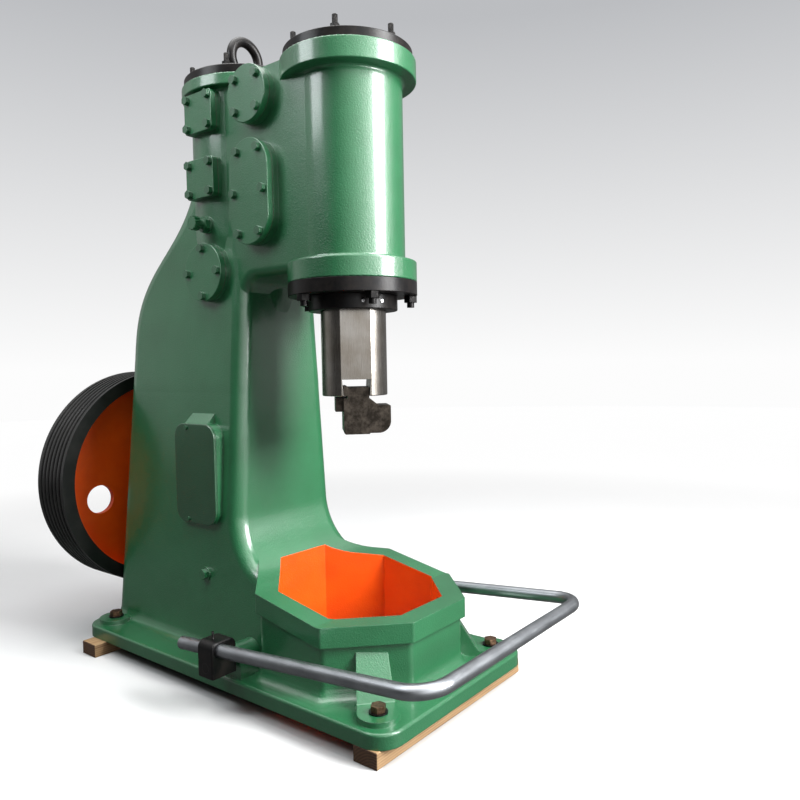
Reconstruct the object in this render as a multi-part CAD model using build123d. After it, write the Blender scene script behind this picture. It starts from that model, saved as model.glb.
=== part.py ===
from build123d import *
import math
import os

# Self-contained air forging hammer of the 75 kg class.
# Frame: X points forward, Z up, the origin is on the ram's axis at floor level.

# Overall layout
cylinder_pitch = 460.0
throat_height = 1170.0
cylinder_height = 617.0
base_length = 1383.0
base_overhang = 383.0
base_half_width = 351.0
base_thickness = 41.0
base_corner = 70.0
base_edge = 8.0
skid_height = 44.0
base_top = skid_height + base_thickness
base_front = base_overhang
base_rear = base_overhang - base_length
throat_z = base_top + throat_height
cylinder_top = throat_z + cylinder_height

# Column
compressor_x = -cylinder_pitch
column_front = compressor_x + 148.0
column_rear = base_rear + 10.0
column_foot_half = 240.0
column_head_half = 163.0
column_neck_half = 150.0
column_front_corner = 45.0
column_rear_corner = 60.0
column_neck_corner = 138.0
column_joint_z = base_top + 815.0
taper_end_z = throat_z + 35.0
shoulder_x = compressor_x - 460.0
shoulder_z = throat_z - 15.0
neck_z = throat_z + 265.0
neck_top_z = throat_z + 390.0
neck_sink = 4.0
neck_radius = 300.0
shoulder_radius = 320.0
foot_fillet = 38.0
throat_arch = 55.0
throat_edge = 30.0
chest_half_width = 158.0
casting_wall = 25.0

# Anvil well and its collar
well_apothem = 240.0
collar_apothem = 305.0
skirt_apothem = 292.0
collar_height = 203.0
collar_band = 56.0
collar_flat_from = 111.0
collar_slope = 0.2
flare_radius = 180.0
collar_corner = 12.0
skirt_corner = 25.0
collar_top = base_top + collar_height

# Cylinders
front_barrel = 160.0
front_flange = 202.0
front_cover_radius = 192.0
front_flange_thickness = 60.0
lower_flange = 194.0
lower_flange_thickness = 61.0
lower_flange_drop = 29.0
rear_barrel = 178.0
rear_flange = 208.0
rear_cover_radius = 200.0
rear_flange_thickness = 36.0
rear_rise = 18.0
ram_bore = 120.0
compressor_bore = 120.0
cover_thickness = 27.0
cover_spigot = 12.0
gasket = 1.5
lower_flange_z = throat_z - lower_flange_drop
rear_top = cylinder_top + rear_rise
compressor_bore_z = throat_z - 135.0

# Cover studs
stud_count = 6
stud_radius = 8.0
stud_grip = 36.0
stud_above_cover = 42.0
stud_edge = 27.5
nut_across = 24.0
nut_height = 15.0
hole_clearance = 0.5

# Lifting eye
eye_radius = 57.0
eye_rod = 16.0
eye_collar = 34.0
eye_collar_height = 15.0

# Side covers of the head, on the near side
side_face = 179.0
side_cover = 20.0
side_gasket = 2.0
valve_x = -cylinder_pitch / 2
upper_valve_z = cylinder_top - 82.0
lower_valve_z = throat_z + 175.0
upper_round_radius = 84.0
oblong_half = 86.0
oblong_low_z = throat_z + 92.0
oblong_high_z = throat_z + 405.0
square_width = 135.0
square_height = 124.0
square_corner = 14.0
square_low_z = throat_z + 325.0
square_high_z = cylinder_top - 87.0
lower_round_radius = 92.0
lower_round_z = throat_z + 30.0
side_screw = 7.0
side_screw_across = 24.0
side_screw_head = 12.0
side_screw_depth = 20.0
cover_screw_inset = 17.0

# Crankcase covers
crankcase_cover_x = compressor_x - 27.5
crankcase_cover_width = 205.0
crankcase_cover_height = 322.0
crankcase_cover_z = base_top + 556.0
crankcase_pad_rise = 43.0
crankcase_screw_x = crankcase_cover_x - 37.5
crankcase_screw_inset = 12.5
crankcase_cover_corner = 45.0
crankcase_face = 225.0
crankcase_cover = 10.0
small_screw = 4.0
small_screw_head = 7.0

# Valves
valve_bore = 45.0
valve_clearance = 0.05
spindle_radius = 14.0
spool_half = 148.0
valve_cap_radius = 78.0
valve_cap = 18.0
valve_cap_boss = 14.0
passage_radius = 30.0
lever_thickness = 14.0
lever_arm = 200.0
spring_arm = 100.0
hand_lever_length = 210.0

# Crank drive
crank_height = 478.0
crank_throw = 110.0
crank_disc_radius = 160.0
crank_disc = 66.0
shaft_radius = 45.0
pulley_seat_radius = 40.0
bearing_length = 90.0
bearing_wall = 12.0
housing_radius = 105.0
housing_flange = 145.0
housing_flange_thickness = 16.0
housing_boss_gap = 11.0
shaft_clearance = 0.05
rod_half = 30.0
big_end_radius = 68.0
crank_pin_radius = 38.0
rod_shell = 6.0
small_end_radius = 46.0
gudgeon_radius = 24.0
piston_above_pin = 330.0
piston_below_pin = 90.0
piston_clearance = 0.1
pin_gap = 0.3
crank_z = base_top + crank_height
gudgeon_z = throat_z - 2.0
crank_pin_z = crank_z - crank_throw

# Pulley
pulley_gap = 5.0
pulley_width = 176.0
pulley_radius = 408.0
pulley_rim_inner = 362.0
pulley_hub = 78.0
pulley_web = 22.0
pulley_recess = 46.0
groove_count = 6
groove_pitch = 25.5
groove_depth = 15.0
groove_width = 17.0
web_hole = 52.0
web_hole_pitch = 250.0
web_hole_count = 3
web_hole_phase = 194.0
pulley_front = base_rear - pulley_gap
pulley_rear = pulley_front - pulley_width
hub_rear = pulley_rear + 20.0

# Ram, gland and die
ram_radius = 98.5
ram_flat = 88.0
ram_clearance = 0.05
ram_drop = 336.0
ram_piston_length = 290.0
ram_piston_lift = 36.0
gland_flange_thickness = 40.0
gland_bore = 116.0
hub_radius = 134.0
hub_height = 44.0
hub_lip = 18.0
packing_count = 4
bush_rise = 30.0
gland_stud_count = 5
gland_stud_pitch = 174.0
gland_stud_phase = 42.0
gland_stud_radius = 11.0
gland_nut_across = 36.0
gland_nut_height = 19.0
gland_stud_drop = 34.0
slot_half = 38.0
slot_top_half = 42.0
slot_height = 49.0
die_drop = 113.0
key_width = 12.0
ram_low = lower_flange_z - ram_drop
die_face = ram_low - die_drop

# Treadle and its linkage
treadle_bar_radius = 19.0
treadle_bar_wall = 4.0
treadle_half = 400.0
treadle_front = 548.0
treadle_bend = 80.0
treadle_rise = 67.0
treadle_pivot_x = -199.0
treadle_pivot_height = 58.0
clamp_height = 45.0
clamp_half_length = 33.0
clamp_inner = 345.0
clamp_outer = 430.0
lug_inner = 262.0
lug_outer = 335.0
lug_radius = 37.0
pivot_pin_radius = 14.0
set_screw = 5.0
set_screw_point = 3.5
link_back = 361.0
link_lug_length = 30.0
link_eye_thickness = 16.0
link_pin_radius = 8.0
open_pivot_clearance = 0.5
push_rod_radius = 9.0
push_rod_foot = 130.0
push_rod_head = 150.0
treadle_pivot_z = base_top + treadle_pivot_height
bar_z = treadle_pivot_z + clamp_height
link_x = treadle_pivot_x - link_back

# Return spring
spring_wire = 3.0
spring_radius = 22.0
spring_turns = 18
spring_end = 58.0
spring_pin_radius = 5.0
spring_hook_z = lower_valve_z + 262.0

# Base fixings
skid_width = 78.0
front_skid_x = base_front - 65.0
rear_skid_x = base_rear + 100.0
rear_skid_overhang = 41.0
base_bolt_y = 274.0
front_bolt_x = base_front - 83.0
rear_bolt_x = base_rear + 80.0
boss_radius = 56.0
boss_height = 15.0
rib_wall_half = 42.0
rib_rise = 130.0
rib_end = 47.0
base_bolt = 11.0
base_bolt_across = 36.0
base_bolt_head = 16.0
washer_radius = 25.0
washer = 4.0


def block(x0, x1, y0, y1, z0, z1):
    """Box between two corners."""
    centre = Pos((x0 + x1) / 2, (y0 + y1) / 2, (z0 + z1) / 2)
    return centre * Box(x1 - x0, y1 - y0, z1 - z0)


def bar(start, end, radius):
    """Round bar between two points."""
    line = Vector(end) - Vector(start)
    plane = Plane(origin=start, z_dir=line)
    return plane * Cylinder(radius, line.length, align=(Align.CENTER, Align.CENTER, Align.MIN))


def pipe(start, end, outer, inner):
    """Round tube between two points."""
    return bar(start, end, outer) - bar(start, end, inner)


def hexagon(start, end, across):
    """Hexagonal bar between two points, with the given width across flats."""
    line = Vector(end) - Vector(start)
    plane = Plane(origin=start, z_dir=line)
    return extrude(plane * RegularPolygon(across / 2, 6, major_radius=False), line.length)


def octagon(apothem, z0, z1):
    """Upright eight-sided prism round the ram's axis, with flats across X and Y."""
    outline = RegularPolygon(apothem, 8, major_radius=False, rotation=22.5)
    return extrude(Pos(0, 0, z0) * outline, z1 - z0)


def along_y(points, half_width, radii=None):
    """Closed side outline of X and Z points, made a plate of twice the half width."""
    corners = [(x, -half_width, z) for x, z in points]
    line = Polyline(*corners, close=True) if radii is None else FilletPolyline(
        *corners, radius=radii, close=True)
    return extrude(make_face(line), amount=2 * half_width, dir=(0, 1, 0))


def side_plate(x, z, width, height, corner, y0, y1):
    """Round-cornered plate that faces sideways, between two Y planes."""
    plane = Plane(origin=(x, min(y0, y1), z), x_dir=(1, 0, 0), z_dir=(0, 1, 0))
    return extrude(plane * RectangleRounded(width, height, corner), abs(y1 - y0))


def turned(points, x, radii=None):
    """Solid of revolution round an upright axis at X, from radius and Z points."""
    corners = [(r, 0, z) for r, z in points]
    line = Polyline(*corners, close=True) if radii is None else FilletPolyline(
        *corners, radius=radii, close=True)
    return Pos(x, 0, 0) * revolve(make_face(line), Axis.Z)


def polar(radius, degrees, x=0.0, y=0.0):
    """X and Y of a point on a circle."""
    angle = math.radians(degrees)
    return x + radius * math.cos(angle), y + radius * math.sin(angle)


def group(pieces):
    """One node of several separate solids."""
    return Compound([solid for piece in pieces for solid in piece.solids()])


def save(name, shape):
    """Writes one node."""
    export_step(shape, "parts/" + name + ".step")


# Column outline


def column_half(z):
    """Half width of the column at a height."""
    if z <= taper_end_z:
        share = (taper_end_z - z) / (taper_end_z - base_top)
        return column_head_half + share * (column_foot_half - column_head_half)
    share = (z - taper_end_z) / (neck_top_z - taper_end_z)
    return column_head_half + share * (column_neck_half - column_head_half)


neck_x = compressor_x - rear_barrel + neck_sink
rear_line = FilletPolyline(
    (neck_x, 0, neck_top_z + 55), (neck_x, 0, neck_z), (shoulder_x, 0, shoulder_z),
    (column_rear, 0, base_top), (column_rear - 2.5, 0, skid_height),
    radius=[neck_radius, shoulder_radius, 0.0])


def column_rear_at(z):
    """X of the column's back at a height."""
    low, high = 0.0, 1.0
    while high - low > 1e-7:
        middle = (low + high) / 2
        if (rear_line @ middle).Z > z:
            low = middle
        else:
            high = middle
    return (rear_line @ low).X


def collar_z(x):
    """Height of the collar's sloping rim line at X."""
    return collar_top + collar_slope * (collar_flat_from - x)


def column_section(z):
    """Level section of the upper column, with its corners growing rounder towards the neck."""
    rear = column_rear_at(z)
    half = column_half(z)
    share = max(0.0, (z - shoulder_z + 122) / (neck_top_z - shoulder_z + 122))
    rear_corner = column_rear_corner + share * (column_neck_corner - column_rear_corner)
    outline = Pos((rear + column_front) / 2, 0, z) * Rectangle(column_front - rear, 2 * half)
    outline = fillet(outline.vertices().group_by(Axis.X)[0], rear_corner)
    front = [v for v in outline.vertices() if v.X > column_front - 1 and abs(v.Y) > half - 1]
    return fillet(front, column_front_corner).faces()[0]


def column():
    """Column: a tapered lower part with the flared foot, and a lofted neck above it."""
    joint = column_joint_z
    foot = base_top - 20
    foot_front = collar_flat_from - 271
    side = along_y([
        (column_front, joint), (column_front, collar_z(column_front)),
        (foot_front, collar_z(foot_front)), (foot_front, foot),
        (column_rear_at(foot), foot), (column_rear_at(joint), joint)],
        column_foot_half + 60, [0, flare_radius, 0, 0, 0, 0])
    outline = Polyline(
        (base_rear - 50, -column_half(foot), foot), (base_rear - 50, column_half(foot), foot),
        (base_rear - 50, column_half(joint), joint), (base_rear - 50, -column_half(joint), joint),
        close=True)
    lower = side & extrude(make_face(outline), amount=base_length, dir=(1, 0, 0))
    side_edges = [e for e in lower.edges()
                  if abs(e.center().Y) > column_half(joint) - 2 and e.center().Z < joint - 1]
    front_edges = [e for e in side_edges if e.center().X > column_front - 28
                   and e.center().X < foot_front - 20 and e.center().Z > collar_top + 60]
    lower = fillet(front_edges, column_front_corner)
    rear_edges = [e for e in lower.edges()
                  if abs(e.center().Y) > column_half(joint) - 2 and e.center().Z < joint - 1
                  and e.center().X < column_rear_at(joint) + 10]
    lower = fillet(rear_edges, column_rear_corner)
    sections = [lower.faces().sort_by(Axis.Z)[-1]]
    span = neck_top_z - joint
    for share in (0.134, 0.268, 0.376, 0.483, 0.591, 0.711, 0.852, 1.0):
        sections.append(column_section(joint + share * span))
    return lower + loft(sections)


def collar():
    """Octagonal collar of the anvil well and the skirt below it."""
    reach = collar_apothem + 15
    band = octagon(collar_apothem, base_top + 60, column_joint_z)
    band = fillet(band.edges().filter_by(Axis.Z), collar_corner)
    rim_rear = column_front - 18
    flare_top = collar_z(column_front) + flare_radius + 50
    band = band & along_y([
        (reach, collar_top - collar_band), (collar_flat_from, collar_top - collar_band),
        (rim_rear, collar_z(rim_rear) - collar_band), (rim_rear, flare_top),
        (column_front, flare_top), (column_front, collar_z(column_front)),
        (collar_flat_from, collar_top), (reach, collar_top)],
        reach, [0, 0, 0, 0, 0, flare_radius, 20, 0])
    skirt = octagon(skirt_apothem, base_top - 20, column_joint_z)
    skirt = fillet(skirt.edges().filter_by(Axis.Z), skirt_corner)
    lap = collar_band / 2
    skirt_rear = collar_flat_from - 361
    skirt = skirt & along_y([
        (reach, base_top - 20), (reach, collar_top - lap), (collar_flat_from, collar_top - lap),
        (skirt_rear, collar_z(skirt_rear) - lap), (skirt_rear, base_top - 20)], reach)
    return band, skirt


def cylinders():
    """Both cylinders with their flanges, and the valve chest and throat arch between them."""
    low = lower_flange_z
    top = cylinder_top
    front = turned([
        (0, low), (lower_flange, low), (lower_flange, low + lower_flange_thickness),
        (front_barrel, low + lower_flange_thickness), (front_barrel, top - front_flange_thickness),
        (front_flange, top - front_flange_thickness), (front_flange, top), (0, top)],
        0, [0, 3, 6, 8, 8, 4, 3, 0])
    rear_low = throat_z - 95
    rear = turned([
        (0, rear_low), (rear_barrel - 28, rear_low), (rear_barrel, throat_z + 145),
        (rear_barrel, rear_top - rear_flange_thickness),
        (rear_flange, rear_top - rear_flange_thickness), (rear_flange, rear_top), (0, rear_top)],
        compressor_x, [0, 0, 120, 8, 4, 3, 0])
    back = compressor_x - 20
    arch_x = column_front - 2
    chest_low = throat_z - 155
    chest = along_y([
        (back, chest_low), (arch_x, chest_low), (arch_x, throat_z), (0, throat_z),
        (0, top - 2), (back, top - 2)], chest_half_width, [0, 0, throat_arch, 0, 0, 0])
    edges = [e for e in chest.edges()
             if abs(e.center().Y) > chest_half_width - 1 and e.center().X > arch_x - 1
             and e.center().X < -1 and e.center().Z < throat_z + 1]
    chest = fillet(edges, throat_edge)
    return front + rear + chest


def oblong(half, low, high, y0, y1):
    """Long plate with round ends that faces sideways."""
    return side_plate(valve_x, (low + high) / 2, 2 * half, high - low, half - 0.01, y0, y1)


def square_covers_z():
    """Heights of the two square covers."""
    return square_low_z, square_high_z


def side_bosses():
    """Raised faces under the covers on both sides."""
    near, inside = -side_face, -100.0
    z = upper_valve_z
    bosses = bar((valve_x, inside, z), (valve_x, near, z), upper_round_radius)
    bosses += oblong(oblong_half, oblong_low_z, oblong_high_z, near, inside)
    for z in square_covers_z():
        bosses += side_plate(compressor_x, z, square_width, square_height, square_corner, near, inside)
    z = lower_round_z
    bosses += bar((compressor_x, inside, z), (compressor_x, near, z), lower_round_radius)
    for z in (upper_valve_z, lower_valve_z):
        bosses += bar((valve_x, -inside, z), (valve_x, -near, z), valve_cap_radius)
    for side in (-1, 1):
        bosses += side_plate(
            crankcase_cover_x, crankcase_cover_z, crankcase_cover_width, crankcase_cover_height,
            crankcase_cover_corner, side * (column_head_half - 10), side * crankcase_face)
        top = crankcase_cover_z + crankcase_cover_height / 2
        flat = crankcase_cover_width / 2 - crankcase_cover_corner
        slope = Polyline((0, crankcase_face, top), (0, crankcase_face - 45, top + crankcase_pad_rise),
                         (0, column_head_half, top + crankcase_pad_rise),
                         (0, column_head_half, top - 10), (0, crankcase_face, top - 10), close=True)
        wedge = extrude(make_face(slope), amount=2 * flat, dir=(1, 0, 0))
        wedge = Pos(crankcase_cover_x - flat, 0, 0) * wedge
        bosses += wedge if side > 0 else mirror(wedge, Plane.XZ)
    return bosses


def corner_bolts():
    """X and Y of the four base bolts."""
    return [(x, side * base_bolt_y) for x in (front_bolt_x, rear_bolt_x) for side in (-1, 1)]


def base_bosses():
    """Bolt bosses, front gussets and the treadle's lugs on the base plate."""
    top = base_top + boss_height
    low = base_top - 10
    x, y = corner_bolts()[0]
    parts = bar((x, y, low), (x, y, top), boss_radius)
    for x, y in corner_bolts()[1:]:
        parts += bar((x, y, low), (x, y, top), boss_radius)
    reach = math.hypot(front_bolt_x, base_bolt_y)
    angle = math.degrees(math.atan2(base_bolt_y, front_bolt_x))
    wall = skirt_apothem - 12
    for side in (-1, 1):
        plan = Polyline(
            (wall, -rib_wall_half, low), (reach, -boss_radius, low), (reach, boss_radius, low),
            (wall, rib_wall_half, low), close=True)
        rib = extrude(make_face(plan), amount=rib_rise + 30, dir=(0, 0, 1))
        rib = rib & along_y([
            (wall, low), (wall, base_top + rib_rise + 15), (reach - rib_end, top),
            (reach + 1, top), (reach + 1, low)], 2 * boss_radius, [0, 0, 8, 0, 0])
        parts += Rot(0, 0, side * angle) * rib
    x, z = treadle_pivot_x, treadle_pivot_z
    for side in (-1, 1):
        y0, y1 = sorted((side * lug_inner, side * lug_outer))
        parts += block(x - lug_radius, x + lug_radius, y0, y1, low, z)
        parts += bar((x, y0, z), (x, y1, z), lug_radius)
    return parts


def crankcase_void():
    """Hollow of the column: crank chamber, sump and the pocket behind the compressor barrel."""
    low = base_top + casting_wall
    wall = casting_wall + 10
    front = column_front - casting_wall - 1
    bore_rear = compressor_x - compressor_bore - 30
    roof = compressor_bore_z
    side = along_y([
        (front, low), (front, roof), (bore_rear, roof), (bore_rear - 30, shoulder_z + 120),
        (shoulder_x + 55, shoulder_z - 70), (column_rear_at(column_joint_z) + wall, column_joint_z),
        (column_rear_at(low) + wall, low)], column_foot_half, [0, 0, 0, 25, 40, 0, 30])
    inset = casting_wall + 1
    ends = []
    for z in (low, taper_end_z + 90):
        ends += [(-column_half(z) + inset, z), (column_half(z) - inset, z)]
    (a, low_z), (b, _), (c, high_z), (d, _) = ends
    outline = Polyline((base_rear, a, low_z), (base_rear, b, low_z), (base_rear, d, high_z),
                       (base_rear, c, high_z), close=True)
    return side & extrude(make_face(outline), amount=base_length, dir=(1, 0, 0))


def side_screws():
    """X, Z and face of every side cover screw on the head."""
    places = []
    inset = upper_round_radius - cover_screw_inset
    for angle in (45, 135, 225, 315):
        places.append(polar(inset, angle, valve_x, upper_valve_z))
    inset = oblong_half - cover_screw_inset
    for z, tilt in ((oblong_high_z - oblong_half, 48), (oblong_low_z + oblong_half, -48)):
        for angle in (tilt, 180 - tilt):
            places.append(polar(inset, angle, valve_x, z))
    for side in (-1, 1):
        places.append((valve_x + side * (inset - 4), (oblong_low_z + oblong_high_z) / 2))
    for z in square_covers_z():
        for dx in (-1, 1):
            for dz in (-1, 1):
                places.append((compressor_x + dx * (square_width / 2 - cover_screw_inset),
                               z + dz * (square_height / 2 - cover_screw_inset)))
    inset = lower_round_radius - cover_screw_inset
    for angle in (0, 90, 180, 270):
        places.append(polar(inset, angle, compressor_x, lower_round_z))
    return places


def cap_screws():
    """X and Z of the valve caps' screws on the far side."""
    return [polar(valve_cap_radius - cover_screw_inset, angle, valve_x, z)
            for z in (upper_valve_z, lower_valve_z) for angle in (45, 135, 225, 315)]


def crankcase_screws():
    """Z of the two screws in each crankcase cover."""
    reach = crankcase_cover_height / 2 - crankcase_screw_inset
    return crankcase_cover_z - reach, crankcase_cover_z + reach


def cover_studs_xy(x, cover_radius):
    """Stud places of a cylinder cover."""
    return [polar(cover_radius - stud_edge, 360 * i / stud_count, x) for i in range(stud_count)]


def housing_bolts_yz():
    """Y and Z of the bearing housing's screws."""
    pitch = (housing_radius + housing_flange) / 2
    return [polar(pitch, 30 + 60 * i, 0, crank_z) for i in range(6)]


def gland_studs_xy():
    """Stud places of the gland flange."""
    step = 360 / gland_stud_count
    return [polar(gland_stud_pitch, gland_stud_phase + step * i) for i in range(gland_stud_count)]


housing_face = column_rear_at(crank_z) - housing_boss_gap
oil_x = compressor_x + 5
oil_z = throat_z + 180
drain_x = compressor_x + 5
drain_z = base_top + 235
spring_x = valve_x + spring_arm
cap_end = side_face + valve_cap + valve_cap_boss
lever_y = cap_end + 2
spring_y = lever_y + lever_thickness + 8
push_rod_top_y = lever_y + lever_thickness + 13


def frame_casting():
    """The one-piece casting, with every bore, pocket and screw hole cut."""
    plate = Pos((base_front + base_rear) / 2, 0, skid_height) * RectangleRounded(
        base_length, 2 * base_half_width, base_corner)
    plate = extrude(plate, base_thickness)
    plate = fillet(plate.faces().sort_by(Axis.Z)[-1].edges(), base_edge)
    band, skirt = collar()
    body = plate + column() + skirt
    foot = []
    for e in body.edges():
        box = e.bounding_box()
        level = max(abs(box.max.Z - base_top), abs(box.min.Z - base_top)) < 0.01
        if level and abs(e.center().Y) < base_half_width - 30 and box.min.X > base_rear + 5:
            if e.center().X < base_front - 15:
                foot.append(e)
    body = fillet(foot, foot_fillet)
    body = body + band + base_bosses() + cylinders() + side_bosses()
    boss_start = housing_face + 60
    body += bar((boss_start, 0, crank_z), (housing_face, 0, crank_z), housing_flange + 5)
    body += bar((oil_x, -rear_barrel + 30, oil_z), (oil_x, -rear_barrel - 6, oil_z), 27)
    drain_half = column_half(drain_z)
    body += bar((drain_x, -drain_half + 20, drain_z), (drain_x, -drain_half - 5, drain_z), 22)

    cuts = [octagon(well_apothem, 0, column_joint_z), crankcase_void()]
    cuts.append(bar((0, 0, lower_flange_z - 1), (0, 0, cylinder_top + 1), ram_bore))
    cuts.append(bar((0, 0, lower_flange_z - 1), (0, 0, lower_flange_z + bush_rise), gland_bore))
    cuts.append(bar((compressor_x, 0, compressor_bore_z - 15), (compressor_x, 0, rear_top + 1),
                    compressor_bore))
    for z in (upper_valve_z, lower_valve_z):
        cuts.append(bar((valve_x, -side_face - 1, z), (valve_x, side_face + 1, z), valve_bore))
        cuts.append(bar((compressor_x, 0, z), (0, 0, z), passage_radius))
    pocket = oblong_half - 36
    cuts.append(oblong(pocket, oblong_low_z + 36, oblong_high_z - 36, -side_face - 1, -side_face + 50))
    for z in square_covers_z():
        cuts.append(side_plate(compressor_x, z, square_width - 45, square_height - 40, 10,
                               -side_face - 1, -side_face + 28))
    cuts.append(bar((compressor_x, -side_face - 1, lower_round_z),
                    (compressor_x, -compressor_bore + 20, lower_round_z), 58))
    for side in (-1, 1):
        cuts.append(side_plate(crankcase_cover_x, crankcase_cover_z, crankcase_cover_width - 55,
                               crankcase_cover_height - 62, 25, side * 120,
                               side * (crankcase_face + 1)))
    cuts.append(bar((housing_face - 1, 0, crank_z), (housing_face + 90, 0, crank_z), housing_radius))

    holes = []
    for x, z in side_screws():
        holes.append(bar((x, -side_face - 1, z), (x, -side_face + side_screw_depth, z), side_screw))
    for x, z in cap_screws():
        holes.append(bar((x, side_face + 1, z), (x, side_face - side_screw_depth, z), side_screw))
    for z in crankcase_screws():
        for side in (-1, 1):
            holes.append(bar((crankcase_screw_x, side * (crankcase_face + 1), z),
                             (crankcase_screw_x, side * (crankcase_face - 14), z), small_screw))
    for x, y in cover_studs_xy(0, front_cover_radius):
        holes.append(bar((x, y, cylinder_top - stud_grip), (x, y, cylinder_top + 1), stud_radius))
    for x, y in cover_studs_xy(compressor_x, rear_cover_radius):
        holes.append(bar((x, y, rear_top - stud_grip + 6), (x, y, rear_top + 1), stud_radius))
    for x, y in gland_studs_xy():
        holes.append(bar((x, y, lower_flange_z - 1), (x, y, lower_flange_z + 28), gland_stud_radius))
    for y, z in housing_bolts_yz():
        holes.append(bar((housing_face - 1, y, z), (housing_face + 35, y, z), side_screw))
    for x, y in corner_bolts():
        holes.append(bar((x, y, 0), (x, y, base_top + boss_height + 1), base_bolt + hole_clearance))
    for side in (-1, 1):
        holes.append(bar((treadle_pivot_x, side * (lug_inner + 8), treadle_pivot_z),
                         (treadle_pivot_x, side * (lug_outer + 1), treadle_pivot_z), pivot_pin_radius))
    holes.append(bar((oil_x, -rear_barrel - 7, oil_z), (oil_x, -rear_barrel + 25, oil_z), 12))
    holes.append(bar((drain_x, -drain_half - 6, drain_z), (drain_x, -drain_half + 15, drain_z), 10))
    holes.append(bar((spring_x, chest_half_width - 25, spring_hook_z),
                     (spring_x, chest_half_width + 20, spring_hook_z), 6))
    for cut in cuts:
        body = body - cut
    return body - holes


def cylinder_cover(x, z, radius, bore, thread=0.0):
    """Round cylinder cover with its spigot and stud holes."""
    low = z + gasket
    top = low + cover_thickness
    cover = turned([(0, z - cover_spigot), (bore - 0.2, z - cover_spigot), (bore - 0.2, low),
                    (radius, low), (radius, top), (0, top)], x, [0, 2, 0, 1.5, 3, 0])
    for px, py in cover_studs_xy(x, radius):
        cover -= bar((px, py, low - 1), (px, py, top + 1), stud_radius + hole_clearance)
    if thread:
        cover -= bar((x, 0, top - 22), (x, 0, top + 1), thread)
    return cover


def cover_gaskets():
    """Thin rings between the cylinders and their covers."""
    rings = []
    for x, z, radius, bore in ((0, cylinder_top, front_cover_radius, ram_bore),
                               (compressor_x, rear_top, rear_cover_radius, compressor_bore)):
        ring = pipe((x, 0, z), (x, 0, z + gasket), radius - 1, bore)
        for px, py in cover_studs_xy(x, radius):
            ring -= bar((px, py, z - 1), (px, py, z + gasket + 1), stud_radius + hole_clearance)
        rings.append(ring)
    return group(rings)


def stud_places():
    """X, Y, the stud's foot and the cover's top for all twelve cover studs."""
    places = []
    for x, z, radius, grip in ((0, cylinder_top, front_cover_radius, stud_grip),
                               (compressor_x, rear_top, rear_cover_radius, stud_grip - 6)):
        for px, py in cover_studs_xy(x, radius):
            places.append((px, py, z - grip, z + gasket + cover_thickness))
    return places


def cover_studs():
    """Threaded studs of both covers."""
    studs = []
    for x, y, foot, top in stud_places():
        stud = bar((x, y, foot), (x, y, top + stud_above_cover), stud_radius)
        studs.append(chamfer(stud.faces().sort_by(Axis.Z)[-1].edges(), 2))
    return group(studs)


def cover_nuts():
    """Hexagon nuts on the cover studs."""
    nuts = []
    for x, y, _, top in stud_places():
        nut = hexagon((x, y, top), (x, y, top + nut_height), nut_across)
        nuts.append(nut - bar((x, y, top - 1), (x, y, top + nut_height + 1), stud_radius))
    return group(nuts)


def lifting_eye():
    """Ring bolt screwed into the rear cover."""
    top = rear_top + gasket + cover_thickness
    x = compressor_x
    centre_z = top + eye_collar_height + eye_radius + eye_rod + 1
    eye = bar((x, 0, top - 22), (x, 0, top), eye_rod)
    eye += turned([(0, top), (eye_collar, top), (eye_collar, top + 9), (eye_rod + 6, top + 22),
                   (0, top + 22)], x)
    eye += Pos(x, 0, centre_z) * Rot(0, 90, 0) * Torus(eye_radius, eye_rod)
    return eye


def side_cover_cut(shape, y0, y1):
    """Takes the screw holes out of a head side cover or gasket."""
    for x, z in side_screws():
        shape = shape - bar((x, y0, z), (x, y1, z), side_screw + hole_clearance)
    return shape


cover_in = -side_face - side_gasket
cover_out = cover_in - side_cover


def rounded_face(plate, size):
    """Softens the outer edge of a side cover."""
    return fillet(plate.faces().sort_by(Axis.Y)[0].edges(), size)


def upper_round_cover():
    """Round end cover of the upper valve."""
    z = upper_valve_z
    cover = rounded_face(bar((valve_x, cover_in, z), (valve_x, cover_out, z), upper_round_radius), 2)
    return side_cover_cut(cover, cover_out - 1, cover_in + 1)


def oblong_cover():
    """Long cover over the lower valve chest."""
    cover = rounded_face(oblong(oblong_half, oblong_low_z, oblong_high_z, cover_out, cover_in), 2)
    return side_cover_cut(cover, cover_out - 1, cover_in + 1)


def lower_round_cover():
    """Round hand hole cover at the gudgeon pin."""
    z = lower_round_z
    x = compressor_x
    cover = rounded_face(bar((x, cover_in, z), (x, cover_out, z), lower_round_radius), 2)
    return side_cover_cut(cover, cover_out - 1, cover_in + 1)


def square_covers():
    """Two square air passage covers."""
    covers = []
    for z in square_covers_z():
        cover = side_plate(compressor_x, z, square_width, square_height, square_corner,
                           cover_out, cover_in)
        covers.append(side_cover_cut(rounded_face(cover, 2), cover_out - 1, cover_in + 1))
    return group(covers)


def side_cover_gaskets():
    """Flat gaskets under the five side covers of the head."""
    y0, y1 = cover_in, -side_face
    z = upper_valve_z
    rings = [pipe((valve_x, y0, z), (valve_x, y1, z), upper_round_radius - 0.5, valve_bore)]
    rings.append(oblong(oblong_half - 0.5, oblong_low_z + 0.5, oblong_high_z - 0.5, y0, y1)
                 - oblong(oblong_half - 36, oblong_low_z + 36, oblong_high_z - 36, y0, y1))
    for z in square_covers_z():
        ring = side_plate(compressor_x, z, square_width - 1, square_height - 1, square_corner, y0, y1)
        ring -= side_plate(compressor_x, z, square_width - 45, square_height - 40, 10, y0, y1)
        rings.append(ring)
    z = lower_round_z
    rings.append(pipe((compressor_x, y0, z), (compressor_x, y1, z), lower_round_radius - 0.5, 58))
    return group([side_cover_cut(ring, y0 - 1, y1 + 1) for ring in rings])


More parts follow.
